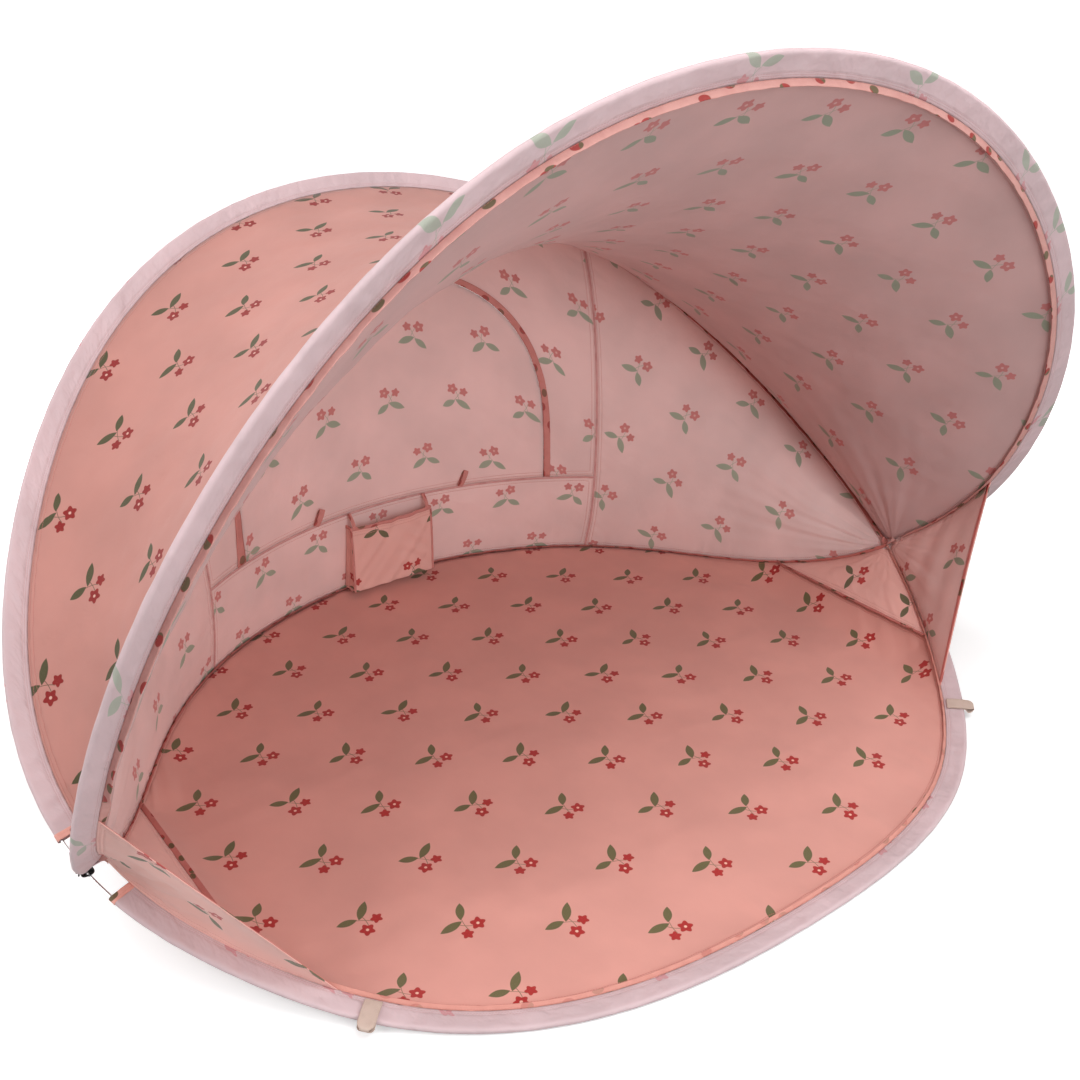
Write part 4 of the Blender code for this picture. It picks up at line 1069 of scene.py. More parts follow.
@dataclass
class Lay:
    """How a grid of cloth lies flat: places on the cloth and distances off and along its nearest seam."""

    cloth: Array
    seam: Array
    width: float
    length: float

    @classmethod
    def of(
        cls, grid: Array, offset: tuple = (0.0, 0.0), sides_sewn: bool = True, turn: float = 0.0,
        plan: Array | None = None,
    ) -> "Lay":
        """Lays a grid flat by its lengths along rows and columns, or by a plan of its places.

        Args:
            grid: rows of points.
            offset: where the print starts.
            sides_sewn: whether the side edges are seams too.
            turn: angle of the print on the cloth.
            plan: the places of the grid's points on the flat cloth.

        Returns:
            The flat places.
        """
        across = np.linalg.norm(np.diff(grid, axis=1), axis=2)
        u = np.concatenate([np.zeros((len(grid), 1)), np.cumsum(across, 1)], 1)
        u = u - u[:, -1:] / 2
        down = np.linalg.norm(np.diff(grid, axis=0), axis=2)
        v = np.concatenate([np.zeros((1, grid.shape[1])), np.cumsum(down, 0)], 0)
        off, run = np.minimum(v, v[-1] - v), u
        if sides_sewn:
            side = np.minimum(u - u[:, :1], u[:, -1:] - u)
            nearer = side < off
            off, run = np.where(nearer, side, off), np.where(nearer, v, u)
        c, s = math.cos(turn), math.sin(turn)
        x, y = (u, v) if plan is None else (plan[..., 0], plan[..., 1])
        cloth = np.stack([x * c - y * s + offset[0], x * s + y * c + offset[1]], -1)
        return cls(cloth, np.stack([off, run], -1), float(u[:, -1].max() - u[:, 0].min()), float(v[-1].max()))


def cloth_sheet(
    name: str, grid: Array, lay: Lay, sides: tuple, outward: tuple, thickness: float = PANELS.thickness
) -> Item:
    """A thin closed sheet of cloth with a finish on each side.

    Args:
        name: the piece's name.
        grid: rows of points of its middle surface.
        lay: its flat places.
        sides: materials of the outer and the inner side.
        outward: a rough direction that the outer side looks in, or a point inside and a fourth value.
        thickness: in metres.

    Returns:
        The sheet.
    """
    faces = grid_faces(*grid.shape[:2])
    aim = np.array(outward[:3])
    if len(outward) == 4:
        aim = grid - aim
    if float((normals(grid) * aim).sum(-1).mean()) < 0:
        faces = faces[:, ::-1]
    points = grid.reshape(-1, 3)
    first = faces[len(faces) // 2]
    face_normal = np.cross(points[first[1]] - points[first[0]], points[first[2]] - points[first[1]])
    middle_aim = aim if aim.ndim == 1 else aim.reshape(-1, 3)[first[0]]
    if float(face_normal @ middle_aim) < 0:
        faces = faces[:, ::-1]
    item = mesh_object(name, points, faces, {"Cloth": lay.cloth.reshape(-1, 2), "Seam": lay.seam.reshape(-1, 2)})
    for material in sides:
        item.data.materials.append(material)
    shell = item.modifiers.new("thickness", "SOLIDIFY")
    shell.thickness, shell.offset, shell.material_offset = thickness, 0.0, 1
    return apply_modifiers(item)


def loft(name: str, rings: Array, material: Material, across: Array, run: Array, closed: bool = False) -> Item:
    """A closed body through rings of points, capped at both ends or carried round into itself.

    Args:
        name: the piece's name.
        rings: stations x points x 3.
        material: its material.
        across: each ring point's distance across, in metres.
        run: each station's distance along, in metres.
        closed: whether the last ring joins the first.

    Returns:
        The body.
    """
    count, size = rings.shape[:2]
    faces = grid_faces(count + closed, size, wrap=True) % (count * size)
    uv = np.stack(np.broadcast_arrays(across[None, :], run[:, None]), -1).reshape(-1, 2)
    item = mesh_object(name, rings.reshape(-1, 3), faces, {"Cloth": uv, "Seam": uv})
    item.data.materials.append(material)
    return face_out(item, fill=not closed)


def tube_rings(line: Array, up: Array, radius: Array, size: int) -> Array:
    """Rings of a round tube along a line.

    Args:
        line: the tube's middle.
        up: directions about square to it.
        radius: at each point of the line.
        size: points in a ring.

    Returns:
        Stations x points x 3.
    """
    forward = tangents(line)
    side = unit(np.cross(forward, up))
    up = unit(np.cross(side, forward))
    angle = (np.arange(size) * math.tau / size)[None, :, None]
    return line[:, None] + radius[:, None, None] * (np.cos(angle) * side[:, None] + np.sin(angle) * up[:, None])


def ribbon_section(width: float, thickness: float, points: int = 5) -> Array:
    """A flat section with round edges.

    Args:
        width: across it.
        thickness: through it.
        points: how many points each round edge has.

    Returns:
        (across, off) for each point of its ring.
    """
    half = thickness / 2
    angle = np.linspace(-math.pi / 2, math.pi / 2, points)
    far = np.stack([width - half + half * np.cos(angle), half * np.sin(angle)], 1)
    near = np.stack([half - half * np.cos(angle), -half * np.sin(angle)], 1)
    inner = np.linspace(0.2, 0.8, 4)[:, None]
    top = np.concatenate([half + (width - thickness) * (1 - inner), np.full((4, 1), half)], 1)
    low = np.concatenate([half + (width - thickness) * inner, np.full((4, 1), -half)], 1)
    return np.concatenate([far, top, near, low])


def ribbon(
    name: str, line: Array, rise: Array, width: float, thickness: float, material: Material, seed: int = 0,
    wave: float = 0.0,
) -> Item:
    """A tape along a line, standing or lying in the direction of its rise, with small waves in its free edge.

    Args:
        name: the piece's name.
        line: the places of its sewn edge.
        rise: unit directions across the tape.
        width: across the tape, in metres.
        thickness: in metres.
        material: its material.
        seed: which waves.
        wave: height of the waves at the free edge, in metres.

    Returns:
        The tape.
    """
    forward = tangents(line)
    rise = unit(rise - (rise * forward).sum(1, keepdims=True) * forward)
    side = np.cross(forward, rise)
    section = ribbon_section(width, thickness)
    run = travel(line)
    lean = waves_along(run, seed, 0.045, 7, 0.2) * wave + waves_along(run, seed + 1, 0.016, 7, 0.2) * wave * 0.4
    share = (section[:, 0] / width)[None, :, None] ** 1.5
    rings = line[:, None] + rise[:, None] * section[None, :, :1] + side[:, None] * section[None, :, 1:]
    return loft(name, rings + side[:, None] * lean[:, None, None] * share, material, section[:, 0], run)


def band_loop(
    name: str, path: Array, side: Array, width: float, thickness: float, material: Material, shares: Array | None = None
) -> Item:
    """A closed loop of tape: a flat section carried round a closed path.

    Args:
        name: the piece's name.
        path: the closed path of the tape's middle.
        side: the unit direction across the tape.
        width: of the tape in metres.
        thickness: of the tape in metres.
        material: its material.
        shares: share of the width at each point of the path, if it isn't the same all round.

    Returns:
        The loop.
    """
    forward = unit(np.roll(path, -1, 0) - np.roll(path, 1, 0))
    side = np.broadcast_to(side, path.shape)
    out = unit(np.cross(forward, side))
    section = ribbon_section(width, thickness)
    across = section[None, :, :1] - width / 2
    if shares is not None:
        across = across * shares[:, None, None]
    rings = path[:, None] + side[:, None] * across + out[:, None] * section[None, :, 1:]
    return loft(name, rings, material, section[:, 0], travel(path), closed=True)


def settle(off: Array, reach: float) -> Array:
    """0 at a seam, rising smoothly to 1 at a distance from it."""
    share = np.clip(off / reach, 0.0, 1.0)
    return share * share * (3 - 2 * share)


@dataclass
class Assembly:
    """A sub-assembly of the tent: it builds its pieces, sets them on their bodies and keeps their names."""

    hoops: Hoops
    finishes: Finishes

    def __post_init__(self) -> None:
        """Starts the list of pieces."""
        self.made: list[str] = []

    def label(self, item: Item, slot: Slot, nodes: tuple) -> Item:
        """Keeps a piece's name and hides the CAD nodes that it stands for.

        Args:
            item: the piece.
            slot: not used.
            nodes: names of the CAD nodes.

        Returns:
            The piece.
        """
        self.made.append(item.name)
        if nodes:
            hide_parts(*nodes)
        return item

    def dress(self, item: Item, body: Body, slot: Slot, *nodes: str) -> Item:
        """Sets a piece on its body and hides its CAD nodes."""
        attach(item, body.value)
        return self.label(item, slot, nodes)

    def bridge(self, item: Item, slot: Slot, turn: tuple, *nodes: str, body: Body = Body.FRONT) -> Item:
        """Bakes a piece's placement into its mesh and hides its CAD nodes.

        Args:
            item: the piece.
            slot: not used.
            turn: not used.
            *nodes: names of the CAD nodes that it stands for.
            body: not used.

        Returns:
            The piece.
        """
        self.label(item, slot, nodes)
        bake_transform(item)
        return item

    @staticmethod
    def declare(item: Item, lay: Lay, *rests_on: str, size: tuple = ()) -> None:
        """Works out the flat size that a stretched sheet was cut to, and keeps nothing of it.

        Args:
            item: the sheet.
            lay: its flat places.
            *rests_on: not used.
            size: its flat width and length, where they aren't those of the lay.
        """
        area = sum(face.area for face in item.data.polygons) / 2
        width, length = size or (max(lay.width, lay.length), min(lay.width, lay.length))
        if not size and area < 0.35 * width * length:
            points = np.array([vertex.co for vertex in item.data.vertices])
            points = points - points.mean(0)
            _, _, axes = np.linalg.svd(points, full_matrices=False)
            width, length = np.ptp(points @ axes.T, axis=0)[:2]
        flat = (round(width, 4), round(max(length, area / width * 1.001) + 0.0001, 4))


@dataclass(frozen=True)
class Wrinkles:
    """How a panel's cloth is wrinkled, heights and wavelengths in metres."""

    seed: int
    slow: float = 0.0016
    slow_wave: float = 0.16
    small: float = 0.0005
    small_wave: float = 0.045
    pucker: float = 0.0009
    pucker_wave: float = 0.020
    pucker_rise: float = 0.008
    pucker_fall: float = 0.016
    pucker_gain: float = 2.2
    corner_folds: float = 0.0030
    corner_rise: float = 0.07
    corner_reach: float = 0.20
    fold_count: float = 4.5
    slow_start: float = 0.05
    small_start: float = 0.02

    def heights(self, grid: Array, lay: Lay, corners: tuple = ("first", "last")) -> Array:
        """Heights of the wrinkles over a grid.

        Args:
            grid: rows of points.
            lay: its flat places.
            corners: which ends of the rows run into a crossing of the hoops.

        Returns:
            Heights along the sheet's normals, zero at its seams.
        """
        off, run = lay.seam[..., 0], lay.seam[..., 1]
        u, v = lay.cloth[..., 0], lay.cloth[..., 1]
        total = ripple(u, v, self.seed, self.slow_wave) * self.slow * settle(off, self.slow_start)
        total = total + ripple(u, v, self.seed + 1, self.small_wave) * self.small * settle(off, self.small_start)
        near = np.clip(off / self.pucker_rise, 0.0, 1.0) * np.exp(-off / self.pucker_fall)
        total = total + waves_along(run, self.seed + 2, self.pucker_wave) * self.pucker * near * self.pucker_gain
        rows = np.linspace(0.0, 1.0, len(grid))[:, None]
        across = np.linalg.norm(np.diff(grid, axis=1), axis=2)
        travelled = np.concatenate([np.zeros((len(grid), 1)), np.cumsum(across, 1)], 1)
        for corner in corners:
            reach = travelled if corner == "first" else travelled[:, -1:] - travelled
            phase = self.seed + (0.0 if corner == "first" else 1.7)
            turn = math.tau * self.fold_count * rows
            wave = np.sin(turn + phase + 6 * reach) + 0.5 * np.sin(turn * 2.3 + phase * 2 - 9 * reach)
            fade = np.clip(reach / self.corner_rise, 0.0, 1.0) * np.exp(-reach / self.corner_reach)
            total = total + self.corner_folds * wave * np.sin(math.pi * rows) ** 0.8 * fade
        return total


class WallProbe:
    """Finds points on the rear wall by looking at its middle surface along Y."""

    def __init__(self, grid: Array) -> None:
        """Keeps the wall as a tree of faces."""
        self.tree = BVHTree.FromPolygons(grid.reshape(-1, 3).tolist(), grid_faces(*grid.shape[:2]).tolist())

    def touch(self, x: float, z: float, lift: float) -> Array:
        """A point on the wall.

        Args:
            x: its place across.
            z: its height.
            lift: how far it is raised towards the inside of the tent.

        Returns:
            The point.
        """
        place, normal, _, _ = self.tree.ray_cast(Vector((x, -0.2, z)), Vector((0.0, 1.0, 0.0)))
        if place is None:
            place, normal, _, _ = self.tree.find_nearest(Vector((x, 0.5, z)))
        return np.array(place + (-normal if normal.y > 0 else normal) * lift)

    def laid(self, path: Array, lift: float) -> Array:
        """A path given as (x, z) laid on the wall at a lift."""
        return np.array([self.touch(x, z, lift) for x, z in path])


@dataclass
class Panels(Assembly):
    """Canopy, rear wall, floor, gussets and wings as wrinkled cloth between their seams."""

    inside: tuple = (0.0, 0.0, 0.25, 1.0)
    canopy_inside: tuple = (0.0, 0.05, 0.2, 1.0)
    wing_inside: tuple = (0.0, 0.2, 0.3, 1.0)
    canopy_turn: float = math.radians(75.7)
    canopy_turn_reach: float = 0.075
    print_turn: float = math.radians(-24.0)
    floor_print: tuple = (0.03, 0.02)
    floor_waves: tuple = ((41, 0.21, 0.0022), (43, 0.07, 0.0008))
    floor_pucker_rise: float = 0.010
    floor_pucker_fall: float = 0.035
    floor_pucker_wave: float = 0.055
    floor_pucker: float = 0.0028
    flap_gap: float = 0.0006
    wing_fold: float = 0.0015
    wing_fan: float = 0.0006
    corner_steps: int = 29
    corner_dome: float = 0.0065
    corner_turn: float = 0.012

    def __post_init__(self) -> None:
        """Relaxes the coarse sheets that the seams and wings start from."""
        super().__post_init__()
        h, c, cloth = self.hoops, COLUMNS, self.finishes.cloth
        # The third finish is the lighter copy of the print side: painted light.
        self.outer, self.inner, self.painted_light_outer = cloth(Finish.OUTER), cloth(Finish.INNER), cloth(Finish.PAINTED_LIGHT_OUTER)
        self.canopy_coarse = relax(h.hood.coarse_seam, h.arch.coarse_seam, c.canopy_rows)
        self.wall_coarse = self.level_rows(relax(h.arch.coarse_seam, h.rear.coarse_seam, c.wall_rows))
        edge = c.wing + 1
        self.wing_coarse = relax(h.hood.coarse_seam[:edge], h.front.coarse_seam[:edge], c.wing_rows)

    @staticmethod
    def level_rows(grid: Array) -> Array:
        """Resets the rows of the wall so that one of them is the level seam over the skirt.

        Args:
            grid: rows of points from the arch down.

        Returns:
            The rows at their new heights.
        """
        c, skirt = COLUMNS, PANELS.skirt_height
        result = np.empty_like(grid)
        mark = grid[:, c.wall_seam]
        side_share = (mark[0, 2] - skirt) / (mark[0, 2] - mark[-1, 2])
        for column in range(grid.shape[1]):
            line = grid[:, column]
            top, foot = line[0, 2], line[-1, 2]
            inner = c.wall_seam <= column <= grid.shape[1] - 1 - c.wall_seam
            share = (top - skirt) / (top - foot) if inner else side_share
            upper = np.linspace(0.0, share, c.wall_rows - c.skirt_rows + 1)
            lower = np.linspace(share, 1.0, c.skirt_rows + 1)[1:]
            heights = top + (foot - top) * np.concatenate([upper, lower])
            for axis in range(2):
                result[:, column, axis] = np.interp(-heights, -line[:, 2], line[:, axis])
            result[:, column, 2] = heights
        return result

    def piece(
        self, name: str, grid: Array, wrinkles: Wrinkles, sides: tuple, inside: tuple, corners: tuple, **lay: object
    ) -> tuple[Item, Lay]:
        """Wrinkles a grid and makes the sheet with its print side away from a point inside the tent.

        Args:
            name: the sheet's name.
            grid: rows of points.
            wrinkles: how it is wrinkled.
            sides: materials of the outer and the inner side.
            inside: the point inside the tent.
            corners: which ends of the rows run into a crossing.
            **lay: how it lies flat.

        Returns:
            The sheet and its flat places.
        """
        flat = Lay.of(grid, **lay)
        grid = grid + normals(grid) * wrinkles.heights(grid, flat, corners)[..., None]
        return cloth_sheet(name, grid, flat, sides, inside), flat

    @staticmethod
    def both_sides(name: str, node: str, grid: Array, coarse: Array, factor: int, seeds: tuple) -> tuple:
        """The right and the left one of a pair of panels.

        Args:
            name: the sheets' name.
            node: the CAD nodes' name.
            grid: rows of points of the right one.
            coarse: the coarse grid that it came from.
            factor: how finely its rows are divided.
            seeds: seeds of their wrinkles.

        Returns:
            Name, node, grid, plan, corner and seed of each.
        """
        pair = []
        for side, corner, seed, turn in (("right", "first", seeds[0], False), ("left", "last", seeds[1], True)):
            plan = refine(flatten(mirrored(coarse) if turn else coarse), factor)
            pair.append((f"{name}_{side}", f"{node}_{side}", mirrored(grid) if turn else grid, plan, corner, seed))
        return tuple(pair)

    def build(self) -> None:
        """Builds every panel."""
        self.canopy()
        self.walls()
        self.window()
        self.floor()
        self.gussets()
        self.wings()
        self.corners()

    def canopy(self) -> None:
        """The canopy between the hood and the rear arch seams."""
        h, factor = self.hoops, COLUMNS.panel_fine
        grid = pin_rows(refine(self.canopy_coarse, factor), h.hood.seam, h.arch.seam)
        item, lay = self.piece(
            "canopy_cloth", grid, Wrinkles(11, corner_folds=0.0018),
            # The canopy's inner side takes the darker copy of the reverse side: painted shade.
            (self.outer, self.finishes.cloth(Finish.PAINTED_SHADE_CANOPY_INNER)), self.canopy_inside, ("first", "last"),
            sides_sewn=False, plan=refine(flatten(self.canopy_coarse), factor),
        )
        across = Vector((0.0, math.sin(self.canopy_turn), -math.cos(self.canopy_turn))) * self.canopy_turn_reach
        self.bridge(item, Slot.PRINT, (Vector(LEVEL) + across, Vector(LEVEL) - across), "canopy")
        self.declare(item, lay, "hood_sleeve_cloth", "rear_arch_sleeve_cloth")

    def walls(self) -> None:
        """The rear wall's two sides and its skirt."""
        h, c = self.hoops, COLUMNS
        edge, last = c.wall_seam, self.wall_coarse.shape[1] - 1
        cut = slice(0, edge * c.fine + 1)
        coarse = self.wall_coarse[:, : edge + 1]
        side = pin_rows(refine(coarse, c.panel_fine), h.arch.seam[cut], h.rear.seam[cut])
        for name, node, grid, plan, corner, seed in self.both_sides(
            "rear_wall_cloth", "rear_wall", side, coarse, c.panel_fine, (21, 25)
        ):
            folds = Wrinkles(seed, corner_folds=0.0022)
            item, lay = self.piece(
                name, grid, folds, (self.outer, self.inner), self.inside, (corner,), offset=(0.31, 0.07), turn=0.25,
                plan=plan,
            )
            self.dress(item, Body.REAR, Slot.PRINT, node)
            self.declare(item, lay, "rear_arch_sleeve_cloth", "rear_ground_sleeve_cloth")
        cut = slice(edge * c.fine, (last - edge) * c.fine + 1)
        middle = refine(self.wall_coarse[:, edge : last - edge + 1], c.panel_fine)
        middle = pin_rows(middle, h.arch.seam[cut], h.rear.seam[cut])
        heights = Wrinkles(31, corner_folds=0.0).heights(middle, Lay.of(middle, offset=(0.02, 0.03)), ())
        heights = heights * settle(np.abs(middle[..., 2] - PANELS.skirt_height), 0.04)
        self.middle = middle + normals(middle) * heights[..., None]
        self.probe = WallProbe(self.middle)
        lower = self.middle[self.skirt_row :]
        lay = Lay.of(lower, offset=(0.05, 0.02))
        item = cloth_sheet("rear_wall_skirt_cloth", lower, lay, (self.outer, self.inner), self.inside)
        self.dress(item, Body.REAR, Slot.PRINT, "rear_wall_skirt")
        self.declare(item, lay, "rear_ground_sleeve_cloth")

    @property
    def skirt_row(self) -> int:
        """The fine row of the level seam over the skirt."""
        return (COLUMNS.wall_rows - COLUMNS.skirt_rows) * COLUMNS.panel_fine

    def window(self) -> None:
        """The wall's upper part and the flap that is cut from it."""
        upper = self.middle[: self.skirt_row + 1]
        lay = Lay.of(upper, offset=(0.02, 0.03))
        for name, inset, operation in (
            ("rear_wall_upper", 0.0, "DIFFERENCE"),
            ("window_flap", self.flap_gap, "INTERSECT"),
        ):
            item = cloth_sheet(name + "_cloth", upper, lay, (self.outer, self.inner), self.inside)
            cutter = window_prism(inset)
            cut = item.modifiers.new("window", "BOOLEAN")
            cut.operation, cut.object, cut.solver = operation, cutter, "EXACT"
            apply_modifiers(item)
            bpy.data.objects.remove(cutter)
            if inset:
                self.bridge(item, Slot.PRINT, FLAP_TURN, name, body=Body.FLAP)
                size, holder = (WINDOW.half_width * 2, WINDOW.height * 1.12), "rear_wall_skirt_cloth"
            else:
                self.dress(item, Body.REAR, Slot.PRINT, name)
                size, holder = (lay.width, lay.length), "rear_arch_sleeve_cloth"
            self.declare(item, lay, holder, size=size)

    def floor(self) -> None:
        """The floor: raised to its seams at the edges, flat on the ground in the middle."""
        h, c = self.hoops, COLUMNS
        last = len(h.front.coarse_seam) - c.side_seam
        front, rear = (run.coarse_seam[c.side_seam : last] for run in (h.front, h.rear))
        cut = slice(c.side_seam * c.fine, (last - 1) * c.fine + 1)
        grid = pin_rows(refine(relax(front, rear, c.floor_rows), c.floor_fine), h.front.seam[cut], h.rear.seam[cut])
        edges = np.concatenate([grid[0], grid[-1], grid[:, 0], grid[:, -1]])[::2, :2]
        inset = np.array([np.linalg.norm(row[:, None, :2] - edges[None], axis=2).min(1) for row in grid])
        share = np.maximum(0.0, 1.0 - inset / PANELS.floor_drop_run) ** 2
        share[0], share[-1], share[:, 0], share[:, -1] = 1.0, 1.0, 1.0, 1.0
        rest = PANELS.thickness / 2
        grid[..., 2] = rest + np.maximum(0.0, grid[..., 2] - rest) * share
        lay = Lay.of(grid)
        cosine, sine = math.cos(self.print_turn), math.sin(self.print_turn)
        x, y = grid[..., 0], grid[..., 1]
        right, up = self.floor_print
        lay.cloth = np.stack([x * cosine - y * sine + right, x * sine + y * cosine + up], -1)
        off = np.minimum(inset, 0.2)
        near = np.clip(off / self.floor_pucker_rise, 0.0, 1.0) * np.exp(-off / self.floor_pucker_fall)
        waves = sum(ripple(x, y, seed, wave) * height for seed, wave, height in self.floor_waves) * settle(off, 0.05)
        waves = waves + waves_along(lay.seam[..., 1], 45, self.floor_pucker_wave) * self.floor_pucker * near
        grid[..., 2] += np.maximum(waves, 0.0)
        # The floor's print side takes the lighter copy: painted light.
        item = cloth_sheet("floor_cloth", grid, lay, (self.finishes.cloth(Finish.FLOOR), self.inner), UPWARD)
        self.bridge(item, Slot.PRINT, FLOOR_TURN, "floor")
        self.declare(item, lay, "front_ground_sleeve_cloth", "rear_ground_sleeve_cloth")
        self.floor_grid = grid

    def gussets(self) -> None:
        """Small panels between the floor's side seams and the crossings."""
        h, c = self.hoops, COLUMNS
        cut = slice(0, c.side_seam * c.fine + 1)
        front, rear = (run.coarse_seam[: c.side_seam + 1] for run in (h.front, h.rear))
        coarse = relax(front, rear, c.gusset_rows)
        side = pin_rows(refine(coarse, c.gusset_fine), h.front.seam[cut], h.rear.seam[cut])
        for name, node, grid, plan, corner, seed in self.both_sides(
            "gusset_cloth", "gusset", side, coarse, c.gusset_fine, (51, 53)
        ):
            lay = Lay.of(grid, offset=(0.432, 0.035), turn=0.5, plan=plan)
            folds = Wrinkles(seed, slow=0.001, corner_folds=0.0022, corner_reach=0.09, fold_count=3.0, pucker=0.0012)
            facing = normals(grid)
            facing = facing * np.sign(facing[..., 2:])
            grid = grid + facing * np.abs(folds.heights(grid, lay, (corner,)))[..., None]
            # The gusset's print side takes the lighter copy: painted light.
            item = cloth_sheet(name, grid, lay, (self.painted_light_outer, self.inner), UPWARD)
            self.bridge(item, Slot.PRINT, FLOOR_TURN, node)
            self.declare(item, lay, "front_ground_sleeve_cloth", "rear_ground_sleeve_cloth")

    def wings(self) -> None:
        """Side wings between the hood and the front ground run, drawn in along their free edges."""
        h, c = self.hoops, COLUMNS
        edge = c.wing * c.fine + 1
        grid = pin_rows(refine(self.wing_coarse, c.wing_fine), h.hood.seam[:edge], h.front.seam[:edge])
        share = np.linspace(0.0, 1.0, grid.shape[1])[None, :, None]
        row = np.linspace(0.0, 1.0, len(grid))[:, None, None]
        across = np.sin(math.pi * row)
        grid = grid + unit(grid[0, 0] - grid + 1e-9) * 0.6 * PANELS.wing_edge_sag * across * share**2
        slope = unit(np.cross(grid[-1, -1] - grid[0, 0], grid[0, -1] - grid[0, 0]))
        free = np.sin(math.pi * share)
        long_folds = np.sin(math.tau * (3.4 * share + 0.35 * row) + 0.8) * free * across**0.6
        fans = np.sin(math.tau * 4.5 * row + 2.0 * share) * free**2
        grid = grid + slope * (long_folds * self.wing_fold + fans * self.wing_fan)
        self.wing_edge = grid[:, -1].copy()
        self.wing_inner = unit(grid[:, -2] - grid[:, -1])
        facing = normals(grid)[:, -1]
        towards = np.array(self.wing_inside[:3]) - self.wing_edge
        self.wing_facing = facing * np.sign((facing * towards).sum(1))[:, None]
        # Wings: the print side is the lighter copy (painted light), the inner side the darker, pinker copy (painted
        # shade).
        sides = (self.painted_light_outer, self.finishes.cloth(Finish.WING_INNER_PAINTED_SHADE))
        for name, node, points, plan, corner, seed in self.both_sides(
            "wing_cloth", "wing", grid, self.wing_coarse, c.wing_fine, (61, 64)
        ):
            tight = Wrinkles(seed, slow=0.0005, small=0.0002, corner_folds=0.0012, corner_reach=0.08, pucker=0.0006)
            item, lay = self.piece(
                name, points, tight, sides, self.wing_inside, (corner,), offset=(0.25, 0.05), turn=0.6, plan=plan
            )
            self.dress(item, Body.FRONT, Slot.PRINT, node)
            self.declare(item, lay, "hood_sleeve_cloth", "front_ground_sleeve_cloth")

    def corners(self) -> None:
        """Gathered corners where canopy, wall, gusset and wing come together at each crossing."""
        h = self.hoops
        hood, arch, rear, front = (run.seam[0] for run in (h.hood, h.arch, h.rear, h.front))
        share = np.linspace(-0.06, 1.06, self.corner_steps)
        s, t = (part[..., None] for part in np.meshgrid(share, share, indexing="ij"))
        grid = (hood * (1 - s) + arch * s) * (1 - t) + (front * (1 - s) + rear * s) * t
        dome = np.clip(np.sin(math.pi * np.clip(s, 0, 1)) * np.sin(math.pi * np.clip(t, 0, 1)), 0.0, 1.0) ** 0.7
        angle = np.arctan2(t - 0.5, s - 0.5)
        folds = np.sin(angle * 9 + 3 * s) * 0.0011 * dome + np.sin(angle * 17 + 5 * t) * 0.0005
        grid = grid + np.array([1.0, 0.0, 0.0]) * (self.corner_dome * dome + folds + 0.0006)
        for side, points in (("right", grid), ("left", mirrored(grid))):
            lay = Lay.of(points, offset=(0.51, 0.33))
            item = cloth_sheet(f"corner_gather_{side}", points, lay, (self.outer, self.inner), (*LEVEL, 1.0))
            x = float(points[..., 0].mean())
            self.bridge(item, Slot.PRINT, ((x, self.corner_turn, LEVEL[2]), (x, -self.corner_turn, LEVEL[2])))


def window_outline(inset: float, foot: float, steps: int = 72) -> Array:
    """The window's outline from its right foot over the arch to its left foot.

    Args:
        inset: how far it is drawn in.
        foot: height of its feet.
        steps: points over the arch.

    Returns:
        (x, z) places.
    """
    w = WINDOW
    spring = PANELS.skirt_height + w.leg
    leg = np.array([(w.half_width - inset, foot + (spring - foot) * step / 16) for step in range(16)])
    angle = np.linspace(0.0, math.pi, steps + 1)
    cosine, power = np.cos(angle), 2 / w.squareness
    x = np.sign(cosine) * np.abs(cosine) ** power * (w.half_width - inset)
    z = spring + np.maximum(0.0, np.sin(angle)) ** power * (w.height - w.leg - inset)
    return np.concatenate([leg, np.stack([x, z], 1), (leg * [-1.0, 1.0])[::-1]])


def window_prism(inset: float) -> Item:
    """A prism through the wall with the window's outline, reaching below its foot.

    Args:
        inset: how far it is drawn in.

    Returns:
        The prism, to cut with.
    """
    outline = window_outline(inset, PANELS.skirt_height - 0.06)
    count = len(outline)
    solid = bmesh.new()
    verts = [solid.verts.new((x, y, z)) for y in (0.2, 0.8) for x, z in outline]
    for index in range(count):
        after = (index + 1) % count
        solid.faces.new((verts[index], verts[after], verts[after + count], verts[index + count]))
    solid.faces.new(verts[:count][::-1])
    solid.faces.new(verts[count:])
    item = add_object("window_prism", bpy.data.meshes.new("window_prism"))
    solid.to_mesh(item.data)
    solid.free()
    return face_out(item)


